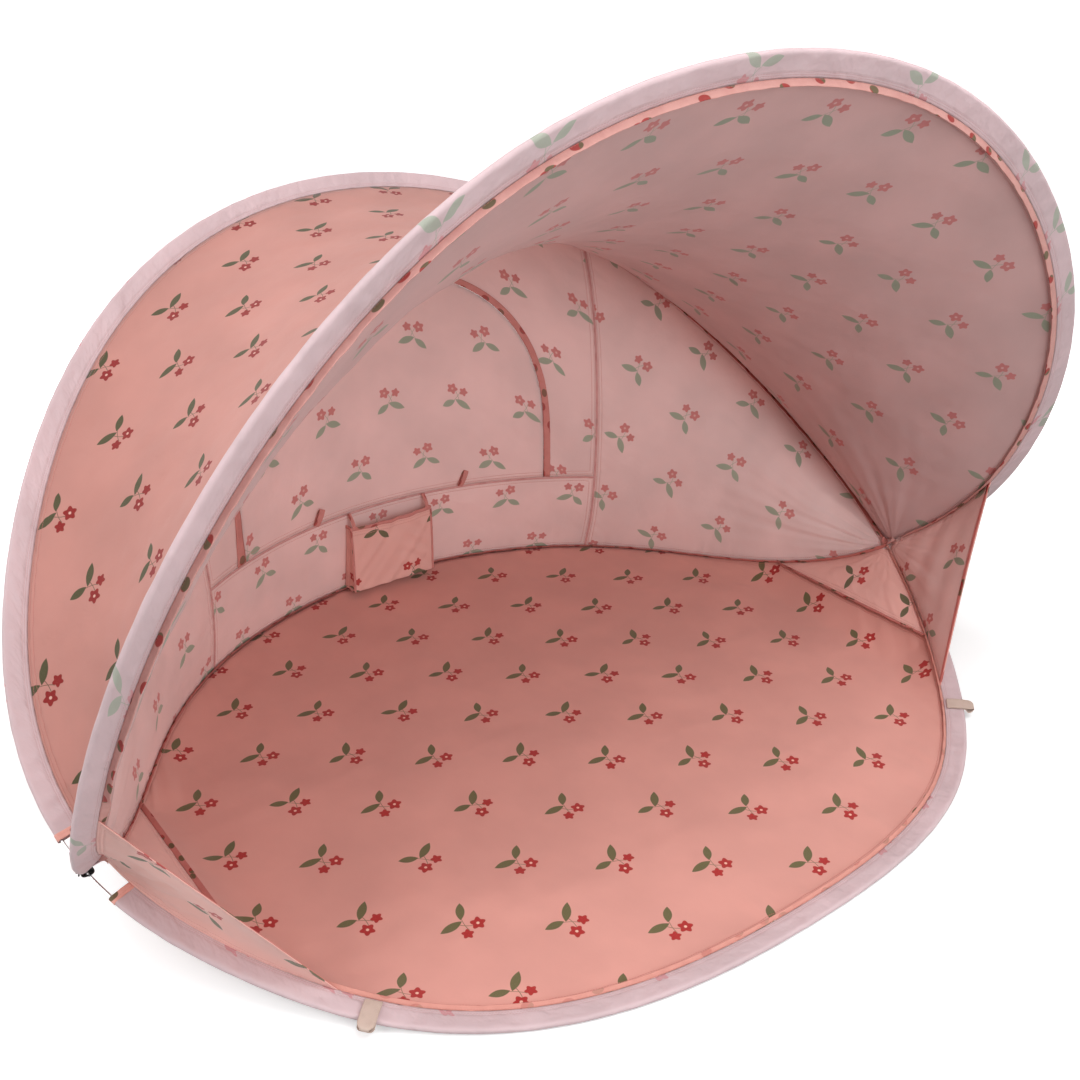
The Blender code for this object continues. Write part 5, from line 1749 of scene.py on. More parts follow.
@dataclass
class Frames(Assembly):
    """Wires, sleeves and bound seams: what follows the four runs of hoop."""

    panels: Panels
    stub: float = 0.0095
    start: float = 0.0098
    wire_steps: int = 420
    wire_sides: int = 14
    sleeve_radius: float = 0.0036
    sleeve_thickness: float = 0.0005
    ground_level: float = 0.0004
    gathers: tuple = ((0, 0.030, 0.00055), (3, 0.011, 0.00028))
    binding_lift: float = 0.0009
    binding_thickness: float = 0.0013
    binding_wave: float = 0.0006
    hem_reach: tuple = (-0.0006, 0.0085)
    hem_lift: float = 0.0006
    lean_columns: tuple = (0, 8, 12, 16, 20, 26)
    lean_degrees: tuple = (105, 100, 75, 22, 0, -32)

    def build(self) -> None:
        """Builds the wires, sleeves, hems and bindings."""
        self.wires()
        self.sleeves()
        self.bindings()
        self.wing_bindings()

    def wires(self) -> None:
        """Round spring wires; the rear runs carry on through the crossings as short stubs."""
        h, sides = self.hoops, self.wire_sides
        steel = self.finishes.metal("spring_steel", (0.70, 0.70, 0.71), 0.26)
        for name, curve, beyond, body in (
            ("rear_arch_wire", h.arch_curve, h.front_curve, Body.REAR),
            ("rear_ground_wire", h.rear_curve, h.hood_curve, Body.REAR),
            ("front_ground_wire", h.front_curve, None, Body.FRONT),
            ("hood_wire", h.hood_curve, None, Body.FRONT),
        ):
            length = run_length(curve)
            if beyond is None:
                line = along(curve, np.linspace(self.start, length - self.start, self.wire_steps))
            else:
                far = run_length(beyond)
                tips = along(beyond, np.linspace(self.stub, 0.001, 6))
                ends = along(beyond, np.linspace(far - 0.001, far - self.stub, 6))
                line = np.concatenate([tips, along(curve, np.linspace(0.0, length, self.wire_steps)), ends])
            up = unit(np.cross(tangents(line), np.array([0.3, 0.9, 0.31])))
            radius = np.full(len(line), HOOPS.wire_radius)
            radius[0] = radius[-1] = HOOPS.wire_radius * 0.8
            rings = tube_rings(line, up, radius, sides)
            item = loft(name + "_drawn", rings, steel, np.arange(sides) * 0.0008, np.linspace(0.0, length, len(line)))
            self.dress(item, body, Slot.STEEL, name)

    def sleeve_grid(self, run: Run, first: int, last: int, seed: int) -> Array:
        """The folded hem round a wire.

        Args:
            run: the run of hoop.
            first: the fine column where the hem starts.
            last: the fine column where it ends.
            seed: which gathers it has.

        Returns:
            Rows from one sewn edge round the wire to the other.
        """
        places = np.linspace(first, last, (last - first) * 2 + 1)
        wire, steer = pick(run.wire, places), unit(pick(run.steer, places))
        across, radius = np.cross(tangents(wire), steer), self.sleeve_radius
        distance = np.interp(places, np.arange(len(run.wire)), run.distances)
        gather = sum(waves_along(distance, seed + more, wave) * height for more, wave, height in self.gathers)
        ends = np.exp(-(distance - distance[0]) / 0.05) + np.exp(-(distance[-1] - distance) / 0.05)
        gather = gather * (1.0 + 1.6 * ends)
        swell = 1.0 + 0.06 * waves_along(distance, seed + 5, 0.05, 7)
        rows = []
        for side in (1.0, -1.0):
            flat = []
            for s in np.linspace(0.0, 1.0, 9):
                spread = 0.0005 + (radius - 0.0005) * s**0.9
                lift = side * spread * (1 + (swell - 1) * s) + gather * math.sin(math.pi * min(s, 0.98)) ** 0.7
                flat.append(wire + steer * (PANELS.sleeve_width * (1 - s)) + across * lift[:, None])
            rows.append(flat)
        arc = []
        for angle in np.linspace(math.pi / 2, -math.pi / 2, 9)[1:-1]:
            back, aside = ((radius * value * swell)[:, None] for value in (math.cos(angle), math.sin(angle)))
            arc.append(wire - steer * back + across * aside)
        return np.array([*rows[0], *arc, *rows[1][::-1]])

    def sleeves(self) -> None:
        """The four hems. The rear arch's and the front ground run's stop short of the crossings with taped ends."""
        h, fine = self.hoops, COLUMNS.fine
        pale = self.finishes.cloth(Finish.SLEEVE)
        for name, run, first, hemmed, body, seed in (
            ("rear_arch_sleeve", h.arch, fine, True, Body.REAR, 101),
            ("hood_sleeve", h.hood, 1, False, Body.FRONT, 111),
            ("front_ground_sleeve", h.front, fine, True, Body.FRONT, 121),
            ("rear_ground_sleeve", h.rear, 1, False, Body.REAR, 131),
        ):
            grid = self.sleeve_grid(run, first, len(run.wire) - 1 - first, seed)
            if "ground" in name:
                grid[..., 2] = np.maximum(grid[..., 2], self.ground_level)
            lay = Lay.of(grid, offset=(seed * 0.0137, 0.03 + seed * 0.004), sides_sewn=False)
            item = cloth_sheet(name + "_cloth", grid, lay, (pale, pale), UPWARD, self.sleeve_thickness)
            self.dress(face_out(item), body, Slot.SLEEVE, name)
            self.declare(item, lay, name.replace("_sleeve", "_wire") + "_drawn")
            if hemmed:
                self.hem(f"{name}_hem_right", grid[:, :2], body)
                self.hem(f"{name}_hem_left", grid[:, -2:][:, ::-1], body)

    def hem(self, name: str, rows: Array, body: Body) -> None:
        """Tape over the end of a sleeve.

        Args:
            name: the tape's name.
            rows: the sleeve's first two columns from its end.
            body: the body that it rides on.
        """
        tape = self.finishes.tape(Tape.HEM)
        way = unit(rows[:, 1] - rows[:, 0])
        grid = rows[:, :1] + way[:, None] * np.linspace(*self.hem_reach, 8)[None, :, None]
        centre = (grid[8:17].mean(0) + grid[:1].mean(0)) / 2
        grid = grid + unit(grid - centre[None]) * self.hem_lift
        band = cloth_sheet(name, grid, Lay.of(grid, sides_sewn=False), (tape, tape), UPWARD)
        self.dress(band, body, Slot.BINDING)

    def rises(self) -> dict[str, Array]:
        """The directions in which the bound seam allowances stand.

        Returns:
            Name of the seam to its unit directions at the fine columns.
        """
        h, p = self.hoops, self.panels
        edge = COLUMNS.wing + 1
        canopy, wall, wing = p.canopy_coarse, p.wall_coarse, p.wing_coarse
        hood_seam = h.hood.coarse_seam
        count = len(hood_seam)
        from_hood = unit(canopy[1] - canopy[0])
        inner = np.cross(tangents(hood_seam), from_hood)
        inner = unit(inner) * np.sign((inner * -hood_seam).sum(1, keepdims=True))
        lean = np.radians(np.interp(np.arange(count), self.lean_columns, self.lean_degrees))[:, None]
        hood_partner = unit(inner * np.cos(lean) + h.hood.coarse_steer * np.sin(lean))
        front_partner = np.tile(UPWARD, (count, 1))
        for partner, way in ((hood_partner, unit(wing[1] - wing[0])), (front_partner, unit(wing[-2] - wing[-1]))):
            partner[:edge] = way
            partner[count - edge :] = way[::-1] * MIRROR
        hood_rise = hood_partner.copy()
        for part in (slice(0, edge), slice(count - edge, count)):
            hood_rise[part] = unit(from_hood[part] + hood_partner[part])
        coarse = {
            "hood": hood_rise,
            "arch": unit(unit(canopy[-2] - canopy[-1]) + unit(wall[1] - wall[0])),
            "rear": unit(unit(wall[-2] - wall[-1]) + h.rear.coarse_steer),
            "front": unit(h.front.coarse_steer + front_partner),
        }
        return {name: unit(smooth_rows(values, COLUMNS.fine)) for name, values in coarse.items()}

    def bindings(self) -> None:
        """Bound seam allowances that stand inside the tent along each seam."""
        h, rises = self.hoops, self.rises()
        meeting = np.mean([run.seam[0] for run in (h.hood, h.arch, h.rear, h.front)], axis=0) - [0.0015, 0.0, 0.0]
        share = np.array([0.08, 0.4, 0.7])[:, None]
        for name, key, run, tape, body, seed, height in (
            ("hood_seam_binding", "hood", h.hood, Tape.PEACH, Body.FRONT, 201, 0.0090),
            # The rear arch and rear ground bindings take the darker tape: painted shade.
            ("rear_arch_seam_binding", "arch", h.arch, Tape.PAINTED_SHADE_BINDING, Body.REAR, 203, 0.0092),
            ("rear_ground_seam_binding", "rear", h.rear, Tape.PAINTED_SHADE_BINDING, Body.REAR, 205, 0.0078),
            ("front_ground_seam_binding", "front", h.front, Tape.FACING, Body.FRONT, 207, 0.0056),
        ):
            line, rise = run.seam + rises[key] * self.binding_lift, rises[key]
            starts, ends = [], []
            for end, sign, knot in ((0, -1.0, meeting), (-1, 1.0, meeting * MIRROR)):
                starts.append(knot + (line[end] - knot) * share)
                ends.append(unit(np.array([[sign, 0.0, 0.0]]) * (1 - share) + rise[end] * share))
            line = np.concatenate([starts[0], line, starts[1][::-1]])
            rise = np.concatenate([ends[0], rise, ends[1][::-1]])
            double = np.linspace(0.0, len(line) - 1.0, len(line) * 2 - 1)
            line, rise = pick(line, double), unit(pick(rise, double))
            cloth, thickness = self.finishes.tape(tape), self.binding_thickness
            item = ribbon(name + "_tape", line, rise, height, thickness, cloth, seed, self.binding_wave)
            self.dress(item, body, Slot.BINDING, name)

    def wing_bindings(self) -> None:
        """Tape folded over the free edges of the wings."""
        p, tape = self.panels, self.finishes.tape(Tape.EDGE)
        for name, scale, seed in (("wing_binding_right", 1.0, 221), ("wing_binding_left", -1.0, 223)):
            mirror = np.array([scale, 1.0, 1.0])
            line = (p.wing_edge + p.wing_inner * 0.0012 + p.wing_facing * 0.0009) * mirror
            item = ribbon(name + "_tape", line, p.wing_inner * mirror, 0.0062, 0.0010, tape, seed, 0.0001)
            self.dress(item, Body.FRONT, Slot.BINDING, name)


@dataclass
class WindowTrim(Assembly):
    """What is sewn round the window: placket, zip tapes, seams and loops, and the metal slider."""

    panels: Panels
    placket_reach: float = 0.0095
    placket_flare: float = 0.9
    placket_wave: float = 0.0009
    outline_steps: int = 120
    tape_width: float = 0.0048
    tooth_pitch: float = 0.0024
    tooth_size: tuple = (0.0015, 0.0012, 0.0010)
    crown: tuple = (0.62, 0.72, 1.0)
    bevel: float = 0.00014
    seam_width: float = 0.0044
    level_seam_width: float = 0.0042
    seam_thickness: float = 0.0009
    floor_seam_height: float = 0.0072
    loop_side: float = 0.142
    loop_length: float = 0.030
    loop_width: float = 0.010
    loop_thickness: float = 0.0011

    def build(self) -> None:
        """Builds the placket, tapes, seam ridges and loops."""
        self.placket()
        self.zip_tapes()
        self.seams()
        self.floor_seams()
        self.loops()
        self.hardware()

    def placket(self) -> None:
        """A strip of print cloth that covers the zip inside, lifted a little at its edge and wider at its left foot."""
        foot, laid = PANELS.skirt_height + 0.001, self.panels.probe.laid
        outer = window_outline(-self.placket_reach, foot, self.outline_steps)
        inner = window_outline(0.0005, foot, self.outline_steps)
        share = np.linspace(0.0, 1.0, len(outer))
        flare = np.exp(-(1.0 - share) / 0.05)[:, None]
        outer = outer + (outer - inner) * flare * self.placket_flare
        low, high = laid(inner, 0.0009), laid(outer, 0.0014)
        high[:, 1:2] -= 0.0012 + np.abs(waves_along(share * 1.3, 301, 0.06)[:, None] * self.placket_wave)
        rise = high - low
        section = ribbon_section(1.0, 0.0011)
        side = unit(np.cross(tangents(low), rise))
        rings = low[:, None] + rise[:, None] * section[None, :, :1] + side[:, None] * section[None, :, 1:]
        across = section[:, 0] * float(np.linalg.norm(rise, axis=1).mean())
        strip = loft("window_placket_strip", rings, self.finishes.tape(Tape.PLACKET), across, travel(low))
        self.dress(strip, Body.REAR, Slot.PLACKET, "window_placket")

    def zip_tapes(self) -> None:
        """Zip tapes on the outer face, each with its row of teeth."""
        plastic, laid = self.finishes.tape(Tape.ZIP), self.panels.probe.laid
        foot = PANELS.skirt_height + 0.002
        for name, near, far, on_flap in (
            ("window_zip_wall_tape", -0.0003, -0.0052, False),
            ("window_zip_flap_tape", 0.0009, 0.0058, True),
        ):
            low = laid(window_outline(near, foot, self.outline_steps), -0.0012)
            rise = unit(laid(window_outline(far, foot, self.outline_steps), -0.0010) - low)
            item = ribbon(name + "_woven", low, rise, self.tape_width, 0.0010, plastic)
            teeth = self.teeth(name.replace("tape", "teeth"), low, rise, plastic)
            for piece, nodes in ((item, (name,)), (teeth, ())):
                if on_flap:
                    self.bridge(piece, Slot.ZIP, FLAP_TURN, *nodes, body=Body.FLAP)
                else:
                    self.dress(piece, Body.REAR, Slot.ZIP, *nodes)

    def teeth(self, name: str, line: Array, rise: Array, plastic: Material) -> Item:
        """A row of small moulded teeth along a zip tape.

        Args:
            name: the row's name.
            line: places along the tape.
            rise: unit directions across it.
            plastic: its material.

        Returns:
            The row as one piece.
        """
        length = run_length(line)
        count = int(length / self.tooth_pitch)
        places = along(line, np.linspace(0.001, length - 0.001, count))
        index = np.linspace(0, len(line) - 1, count).astype(int)
        forward, across = tangents(line)[index], rise[index]
        out = np.cross(forward, across)
        out = out * np.sign(out[:, 1:2])
        pattern = self.tooth()
        pattern.data.materials.append(plastic)
        copies = []
        for place, *axes in zip(places + out * 0.0004, forward, across, out):
            copy = pattern.data.copy()
            copy.transform(Matrix.Translation(place) @ Matrix(axes).transposed().to_4x4())
            copies.append(copy)
        bpy.data.objects.remove(pattern)
        return face_out(join_meshes(name, copies))

    def tooth(self) -> Item:
        """One tooth on the origin.

        Returns:
            A block with its crown drawn in and its edges rounded.
        """
        bpy.ops.object.select_all(action="DESELECT")
        bpy.ops.mesh.primitive_cube_add(size=1.0, location=(0.0, 0.0, 0.5))
        item = bpy.context.object
        item.location, item.scale = (0.0, 0.0, self.tooth_size[2] / 2), self.tooth_size
        bpy.ops.object.transform_apply(location=True, rotation=False, scale=True)
        bpy.ops.object.mode_set(mode="EDIT")
        bpy.ops.mesh.select_mode(type="FACE")
        bpy.ops.mesh.select_all(action="DESELECT")
        solid = bmesh.from_edit_mesh(item.data)
        for face in solid.faces:
            face.select_set(face.normal.z > 0.9)
        bmesh.update_edit_mesh(item.data)
        bpy.ops.transform.resize(value=self.crown)
        bpy.ops.mesh.select_all(action="SELECT")
        bpy.ops.mesh.bevel(offset=self.bevel, segments=1, affect="EDGES")
        bpy.ops.object.mode_set(mode="OBJECT")
        return item

    def seams(self) -> None:
        """Felled seams: two upright ones down the wall and the level one over the skirt."""
        grid, tape = self.panels.middle, self.finishes.tape(Tape.FELL)
        for name, line, way, seed in (
            ("wall_seam_right", grid[:, 0], grid[:, 1] - grid[:, 0], 311),
            ("wall_seam_left", grid[:, -1], grid[:, -2] - grid[:, -1], 313),
        ):
            line, way = smooth_rows(line, 2), unit(smooth_rows(way, 2))
            facing = np.cross(tangents(line), way)
            facing = facing * np.sign(-facing[:, 1:2])
            line = line + facing * 0.0008 - way * (self.seam_width / 2)
            item = ribbon(name, line, way, self.seam_width, self.seam_thickness, tape, seed, 0.0001)
            self.dress(item, Body.REAR, Slot.PRINT)
        half = float(np.abs(grid[self.panels.skirt_row, :, 0]).max()) - 0.001
        x = np.linspace(half, -half, 260)
        path = np.stack([x, np.full_like(x, PANELS.skirt_height - self.level_seam_width)], 1)
        line = self.panels.probe.laid(path, 0.0008)
        top = self.panels.probe.laid(path + [0.0, 0.004], 0.0008)
        width, thickness = self.level_seam_width, self.seam_thickness
        item = ribbon("wall_seam_level", line, unit(top - line), width, thickness, tape, 315, 0.0002)
        self.dress(item, Body.REAR, Slot.PRINT)

    def floor_seams(self) -> None:
        """Bound seams that stand along the floor's two sides."""
        # The floor's side seams take the darker binding tape: painted shade.
        floor, tape = self.panels.floor_grid, self.finishes.tape(Tape.PAINTED_SHADE_BINDING)
        for name, edge, way in (
            ("floor_seam_right", floor[:, 0], floor[:, 1] - floor[:, 0]),
            ("floor_seam_left", floor[:, -1], floor[:, -2] - floor[:, -1]),
        ):
            edge, way = smooth_rows(edge, 2), unit(smooth_rows(way, 2))
            lean = unit(way * 0.75 + np.array([0.0, 0.0, 0.65]))
            start = edge + np.array([0.0, 0.0, 0.0009])
            item = ribbon(name, start, lean, self.floor_seam_height, 0.0014, tape, 317, 0.0008)
            self.bridge(item, Slot.BINDING, FLOOR_TURN)

    def loops(self) -> None:
        """Two folded loops of print cloth that hold the rolled flap."""
        touch, tape, half = self.panels.probe.touch, self.finishes.tape(Tape.PLACKET), self.loop_length / 2
        angle = np.linspace(0.0, math.tau, 49)[:-1]
        for name, x in (("flap_tie_loop_right", self.loop_side), ("flap_tie_loop_left", -self.loop_side)):
            z = PANELS.skirt_height + 0.0015
            foot, head = touch(x, z, 0.0018), touch(x, z + self.loop_length, 0.0018)
            up = unit(unit(head - foot) + np.array([0.48, 0.0, 0.0]))
            out = unit(np.array([0.0, -1.0, 0.0]) - up * -up[1])
            lift = out * (0.0033 + 0.0029 * np.sin(angle))[:, None]
            path = foot + up * (half - half * np.cos(angle))[:, None] + lift
            side = unit(np.cross(up, out))
            item = band_loop(name + "_cloth", path, side, self.loop_width, self.loop_thickness, tape)
            self.bridge(item, Slot.WEBBING, FLAP_TURN, name, body=Body.FLAP)

    def hardware(self) -> None:
        """Metal finishes on the slider, its pull and the ferrules."""
        cast = self.finishes.metal("cast_slider", (0.62, 0.60, 0.58), 0.34)
        for node in ("zip_slider", "zip_pull", "front_hoop_ferrule", "rear_hoop_ferrule"):
            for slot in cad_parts[node].material_slots:
                slot.material = cast


@dataclass
class Pocket(Assembly):
    """The bellows pocket on the skirt: wrinkled front, folded sides, bottom, bound rim and corner straps."""

    panels: Panels
    half_width: float = 0.080
    rim: float = 0.134
    foot: float = 0.014
    depth_top: float = 0.016
    depth_foot: float = 0.035
    side_steps: int = 9
    front_steps: int = 64
    front_rows: int = 45
    off_wall: float = 0.0014

    def build(self) -> None:
        """Builds the pocket and its trim."""
        rows = []
        for share in np.linspace(0.0, 1.0, self.front_rows):
            rows.append(self.row(self.rim + (self.foot - self.rim) * share, share, 1.0))
        for inward in np.linspace(0.85, 0.0, 8):
            rows.append(self.row(self.foot - 0.0008, 1.0, inward))
        grid = np.array(rows)
        lay = Lay.of(grid, offset=(0.035, 0.052))
        # The pocket's print side takes the lighter copy: painted light.
        sides = (self.panels.painted_light_outer, self.panels.inner)
        item = cloth_sheet("storage_pocket_cloth", grid, lay, sides, (0.0, -1.0, 0.0))
        self.dress(item, Body.REAR, Slot.PRINT, "storage_pocket")
        self.declare(item, lay, "rear_wall_skirt_cloth")
        self.rim_tape(grid)

    def row(self, height: float, share: float, inward: float) -> Array:
        """One level of the pocket.

        Args:
            height: of the level over the ground.
            share: how far down the front it is.
            inward: how far out the front is, from 0 at the wall to 1.

        Returns:
            Points from the wall on its right round the front to the wall on its left.
        """
        half = self.half_width
        depth = (self.depth_top + (self.depth_foot - self.depth_top) * share) * inward
        right, left = (self.panels.probe.touch(x, height, self.off_wall) for x in (half, -half))
        out = np.array([0.0, -depth, 0.0])
        bellows = np.linspace(0.0, 1.0, self.side_steps + 1)[:-1, None]
        tuck = np.sin(math.pi * bellows) * 0.005 * (0.4 + 0.6 * share) * inward
        side_right = right + out * bellows + np.array([-1.0, 0.0, 0.0]) * tuck
        side_left = (left + out * bellows + np.array([1.0, 0.0, 0.0]) * tuck)[::-1]
        t = np.linspace(0.0, 1.0, self.front_steps)[:, None]
        front = right + out + (left - right) * t
        u, v = (t[:, 0] - 0.5) * 2 * half, np.full(self.front_steps, height)
        middle = np.sin(math.pi * t[:, 0])
        bulge = middle**0.7 * (0.0030 * math.sin(math.pi * min(share * 1.1, 1.0)) + 0.0018 * (1 - share))
        folds = ripple(u + 0.8 * v, v * 0.3, 401, 0.030, 9, 0.8) * 0.0012
        folds = folds + np.sin((u - (v - self.rim) * 1.4) * 150.0) * 0.0013 * np.exp(-((u + 0.045) ** 2) / 0.0011)
        front[:, 1] -= (bulge + folds * np.minimum(middle * 3.0, 1.0)) * inward
        front[:, 2] -= middle * 0.0030 * (1 - share) ** 3
        return np.concatenate([side_right, front, side_left])

    def rim_tape(self, grid: Array) -> None:
        """Tape over the rim, down the front's edges and up to the wall seam at its corners.

        Args:
            grid: the pocket's rows, from its rim down.
        """
        tape = self.finishes.tape(Tape.PLACKET)
        rim = smooth_rows(grid[0], 2)
        up = np.tile((0.0, -0.08, 1.0), (len(rim), 1))
        item = ribbon("pocket_rim_tape", rim - [0.0, 0.0, 0.0012], up, 0.0066, 0.0018, tape, 411, 0.0003)
        self.dress(item, Body.REAR, Slot.BINDING, "pocket_rim_binding")
        t = np.linspace(0.0, 1.0, 20)[:, None]
        for side, column, sign in (
            ("right", self.side_steps, 1.0), ("left", grid.shape[1] - 1 - self.side_steps, -1.0)
        ):
            line = grid[: self.front_rows, column] + np.array([sign * 0.0012, -0.0009, 0.0])
            x = sign * (self.half_width - 0.0035)
            top = self.panels.probe.touch(x, PANELS.skirt_height - 0.001, 0.0022)
            corner = grid[0, column] + np.array([-sign * 0.004, -0.0012, 0.004])
            path = top + (corner - top) * t + np.array([0.0, -0.003, 0.0]) * np.sin(math.pi * t)
            for name, places, width, thick, seed, wave in (
                ("edge_tape", line, 0.0042, 0.0011, 413, 0.0001), ("strap", path, 0.0065, 0.0012, 415, 0.0002)
            ):
                way = np.tile((-sign, 0.0, 0.0), (len(places), 1))
                strip = ribbon(f"pocket_{name}_{side}", places, way, width, thick, tape, seed, wave)
                self.dress(strip, Body.REAR, Slot.BINDING)


@dataclass
class PegTabs(Assembly):
    """Folded webbing loops sewn in over the ground sleeves."""

    width: float = 0.020
    thickness: float = 0.0012
    reach: float = 0.013
    room: float = 0.0062
    setback: float = 0.0035
    rounding: float = 0.008
    sleeve_crest: float = 0.0047

    def build(self) -> None:
        """Builds the four tabs."""
        c, h = COLUMNS, self.hoops
        for place, run, column, bodies in (
            ("front", h.front, c.front_tab, (Body.TAB_FRONT_RIGHT, Body.TAB_FRONT_LEFT)),
            ("rear", h.rear, c.rear_tab, (Body.TAB_REAR_RIGHT, Body.TAB_REAR_LEFT)),
        ):
            step = column * c.fine
            for side, index, body in (("right", step, bodies[0]), ("left", len(run.wire) - 1 - step, bodies[1])):
                forward = unit(run.wire[index + c.fine] - run.wire[index - c.fine])
                outward = -run.steer[index]
                outward = unit(outward - forward * (outward @ forward))
                up = np.cross(forward, outward)
                up = up if up[2] > 0 else -up
                self.tab(f"peg_tab_{place}_{side}", run.seam[index], outward, up, body)

    def tab(self, name: str, seam: Array, outward: Array, up: Array, body: Body) -> None:
        """One tab: two layers from its seam over the sleeve and a loop beyond it.

        Args:
            name: the CAD node's name.
            seam: where it is sewn in.
            outward: the unit direction away from the tent.
            up: the unit direction off the ground.
            body: the body that it rides on.
        """
        sleeve, layer = PANELS.sleeve_width, self.thickness + 0.0002
        crest = self.sleeve_crest + self.thickness / 2
        root, low = crest - 0.0026, crest - self.room
        side = sleeve + 0.0045
        end = side + self.reach
        path = np.array(
            (
                (self.setback, root),
                (sleeve * 0.55, (root + crest) / 2 + 0.0004),
                (sleeve, crest + 0.0001),
                (side + 0.0012, crest - self.room / 2 + 0.0012),
                (side + self.reach / 3, low),
                (end - self.reach / 3, low),
                (end, low + self.room / 3),
                (end, crest),
                (end - self.reach / 3, crest + layer),
                (side, crest + layer),
                (sleeve, crest + layer + 0.0001),
                (sleeve * 0.55, (root + crest) / 2 + layer + 0.0004),
                (self.setback, root + layer),
            )
        )
        for _ in range(3):
            after = np.roll(path, -1, 0)
            path = np.stack([path * 0.75 + after * 0.25, path * 0.25 + after * 0.75], 1).reshape(-1, 2)
        places = seam + outward * path[:, :1] + up * path[:, 1:]
        past = np.clip((path[:, 0] - (end - self.rounding)) / self.rounding, 0.0, 0.96)
        webbing, shares = self.finishes.tape(Tape.WEBBING), np.sqrt(1.0 - past**2 * 0.75)
        item = band_loop(name + "_webbing", places, np.cross(outward, up), self.width, self.thickness, webbing, shares)
        self.dress(item, body, Slot.WEBBING, name)


@dataclass
class CornerTies(Assembly):
    """Black lashings that hold the two hoops together where they cross."""

    knot_radius: float = 0.0028
    knot_shape: tuple = (1.0, 1.3, 0.92)
    lash_width: float = 0.0042
    lash_thickness: float = 0.0012
    tail_length: float = 0.008
    tail_width: float = 0.0022
    tail_thickness: float = 0.0008
    tail_drop: float = 0.0022
    clearance: float = 0.0011
    turns: tuple = ((-0.0082, 0.10), (-0.0048, -0.12), (-0.0014, 0.12), (0.0020, 0.16))
    tails: tuple = ((0.6, -0.7, -0.5), (0.75, 0.3, -0.65))

    def build(self) -> None:
        """Builds both lashings with their knots and short tails."""
        tape = self.finishes.tape(Tape.BLACK)
        upright = HOOPS.wire_radius + self.clearance
        across = HOOPS.crossing_spacing / 2 + upright
        angle = np.arange(48) * math.tau / 48
        t = np.linspace(0.0, 1.0, 12)[:, None]
        for side, sign in (("right", 1.0), ("left", -1.0)):
            centre = np.array([sign * HOOPS.half_span, 0.0, HOOPS.crossing_height])
            pieces = []
            for index, (shift, tilt) in enumerate(self.turns):
                swell = 1.42 - 0.06 * index
                x = np.sign(np.cos(angle)) * np.abs(np.cos(angle)) ** 0.8 * across * swell
                z = np.sign(np.sin(angle)) * np.abs(np.sin(angle)) ** 0.8 * upright * swell
                path = centre + np.stack([x, shift + z * tilt, z], 1)
                way = np.array([0.0, 1.0, 0.0])
                pieces.append(band_loop(f"lash_{index}", path, way, self.lash_width, self.lash_thickness, tape))
            knot_at = centre + np.array([sign * across * 0.9, -0.0008, upright * 0.8])
            for index, (way_x, way_y, way_z) in enumerate(self.tails):
                way = unit(np.array([sign * way_x, way_y, way_z]))
                line = knot_at + way * self.tail_length * t - np.array([0.0, 0.0, self.tail_drop]) * t**2
                flat = np.tile((0.0, 0.9, 0.4), (len(t), 1))
                pieces.append(ribbon(f"tail_{index}", line, flat, self.tail_width, self.tail_thickness, tape))
            pieces.append(self.knot(knot_at, tape))
            item = join_meshes(f"corner_lashing_{side}", [piece.data for piece in pieces])
            self.dress(item, Body.REAR, Slot.BLACK, f"corner_tie_{side}")

    def knot(self, place: Array, tape: Material) -> Item:
        """The knot of a lashing: a ball drawn out along the crossing, with its ends pulled in.

        Args:
            place: its middle.
            tape: its material.

        Returns:
            The ball.
        """
        bpy.ops.object.select_all(action="DESELECT")
        radius, location = self.knot_radius, place.tolist()
        bpy.ops.mesh.primitive_uv_sphere_add(segments=18, ring_count=10, radius=radius, location=location)
        item = bpy.context.object
        bpy.ops.object.transform_apply(location=True, rotation=False, scale=False)
        bpy.ops.object.mode_set(mode="EDIT")
        bpy.ops.mesh.select_all(action="SELECT")
        bpy.ops.transform.resize(value=self.knot_shape)
        bpy.ops.object.mode_set(mode="OBJECT")
        bpy.ops.object.shade_smooth()
        item.data.materials.append(tape)
        return item


@dataclass(frozen=True)
class CameraSizes:
    """Where the photograph was taken from, in metres and radians."""

    place: tuple = (-0.90444, -1.1519, 1.06833)
    target: tuple = (-0.06788, 0.0, 0.33867)
    roll: float = 0.00985
    lens: float = 40.477
    sensor: float = 36.0


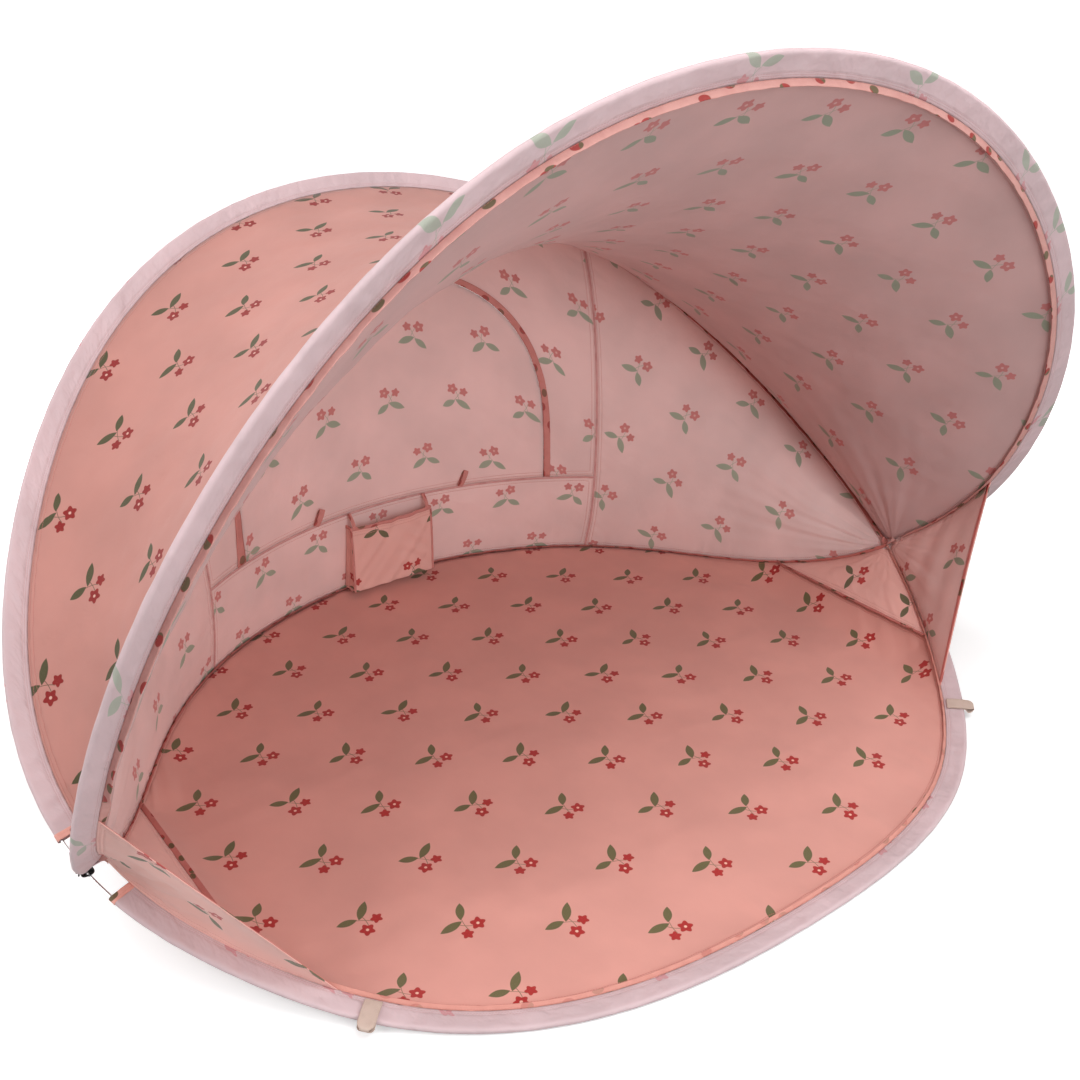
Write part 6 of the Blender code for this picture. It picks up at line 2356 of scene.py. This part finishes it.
@dataclass
class Studio:
    """Camera, soft lamps, white world and a plain pale floor. A lamp: name, place, aim, size and power."""

    world_level: float = 0.14
    floor_glow: float = 0.34
    floor_seen: tuple = (0.86, 0.86, 0.86)
    floor_bounce: tuple = (0.40, 0.40, 0.40)
    softboxes: tuple = (
        ("front", (-0.3, -2.8, 1.7), (0.0, 0.1, 0.2), 1.8, 26.0),
        ("low", (-0.3, -2.8, 0.9), (0.0, 0.1, 0.3), 1.8, 21.0),
        ("over", (0.35, -0.9, 2.9), (0.0, -0.1, 0.2), 2.2, 60.0),
        ("side", (-2.5, 0.2, 1.9), (0.0, 0.1, 0.2), 1.8, 44.0),
        ("back", (-0.5, 2.5, 1.2), (0.0, 0.3, 0.4), 1.8, 40.0),
    )

    def build(self) -> None:
        """Builds the studio."""
        self.camera()
        self.lamps()
        self.world()
        self.floor()
        bpy.context.scene.view_settings.view_transform = "Standard"

    @staticmethod
    def camera(sizes: CameraSizes = CameraSizes()) -> None:
        """The camera at the photograph's place, turned by its roll.

        Args:
            sizes: its place, target, roll and lens.
        """
        place, target = np.array(sizes.place), np.array(sizes.target)
        forward = unit(target - place)
        right = unit(np.cross(forward, UPWARD))
        up = np.cross(right, forward)
        c, s = math.cos(sizes.roll), math.sin(sizes.roll)
        right, up = right * c + up * s, up * c - right * s
        data = bpy.data.cameras.new("camera")
        data.lens, data.sensor_width, data.sensor_fit = sizes.lens, sizes.sensor, "HORIZONTAL"
        item = add_object("camera", data)
        item.matrix_world = Matrix.Translation(Vector(place)) @ Matrix((right, up, -forward)).transposed().to_4x4()
        bpy.context.scene.camera = item

    def lamps(self) -> None:
        """Softboxes in front, overhead, on the left and behind."""
        for name, place, aim, size, power in self.softboxes:
            data = bpy.data.lights.new(name, "AREA")
            data.energy, data.size = power, size
            item = add_object(name, data)
            item.location = place
            item.rotation_euler = (Vector(aim) - Vector(place)).to_track_quat("-Z", "Y").to_euler()

    def world(self) -> None:
        """A plain white world: its own level for light, full white where the camera or a gloss sees it."""
        world = bpy.data.worlds.new("studio")
        bpy.context.scene.world = world
        world.use_nodes = True
        n = Nodes(world.node_tree)
        background = world.node_tree.nodes["Background"]
        background.inputs["Color"].default_value = (1.0, 1.0, 1.0, 1.0)
        n.link(seen_directly(n) * (1.0 - self.world_level) + self.world_level, background.inputs["Strength"])

    def floor(self) -> None:
        """A wide plain floor that reads as white and keeps the soft shadows of the tent."""
        bpy.ops.mesh.primitive_grid_add(x_subdivisions=8, y_subdivisions=8, size=40.0, location=(0.0, 0.0, -0.0006))
        item = bpy.context.object
        item.name = "studio_floor"
        material = bpy.data.materials.new("studio_floor")
        material.use_nodes = True
        n = Nodes(material.node_tree)
        inputs = material.node_tree.nodes["Principled BSDF"].inputs
        inputs["Roughness"].default_value = 0.9
        inputs["Specular IOR Level"].default_value = 0.0
        inputs["Emission Color"].default_value = (1.0, 1.0, 1.0, 1.0)
        seen = seen_directly(n)
        n.link(n.mix(seen, self.floor_bounce, self.floor_seen), inputs["Base Color"])
        place = n.add("ShaderNodeTexCoord").outputs["Object"]
        distance = n.add("ShaderNodeVectorMath", operation="LENGTH")
        n.link(place, distance.inputs[0])
        far = n.ramp(distance.outputs["Value"], 0.95, 1.7)
        n.link(seen * (far * (1.0 - self.floor_glow) + self.floor_glow), inputs["Emission Strength"])
        item.data.materials.append(material)


def seen_directly(n: Nodes) -> Value:
    """1 for rays from the camera, a gloss or through glass, 0 for others."""
    path = n.add("ShaderNodeLightPath").outputs
    seen = n.math("MAXIMUM", path["Is Camera Ray"], path["Is Glossy Ray"])
    return n.math("MAXIMUM", seen, path["Is Transmission Ray"])


def main() -> None:
    """Builds the studio and the tent's sub-assemblies, in order, and reports each piece."""
    logging.basicConfig(level=logging.INFO, format="%(message)s")
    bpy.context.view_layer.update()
    Studio().build()
    shared = (Hoops(), Finishes())
    panels = Panels(*shared)
    for assembly in (
        panels,
        Frames(*shared, panels),
        WindowTrim(*shared, panels),
        Pocket(*shared, panels),
        PegTabs(*shared),
        CornerTies(*shared),
    ):
        assembly.build()
        for name in assembly.made:
            log.info("%s: %s", type(assembly).__name__, name)


if __name__ == "__main__":
    main()
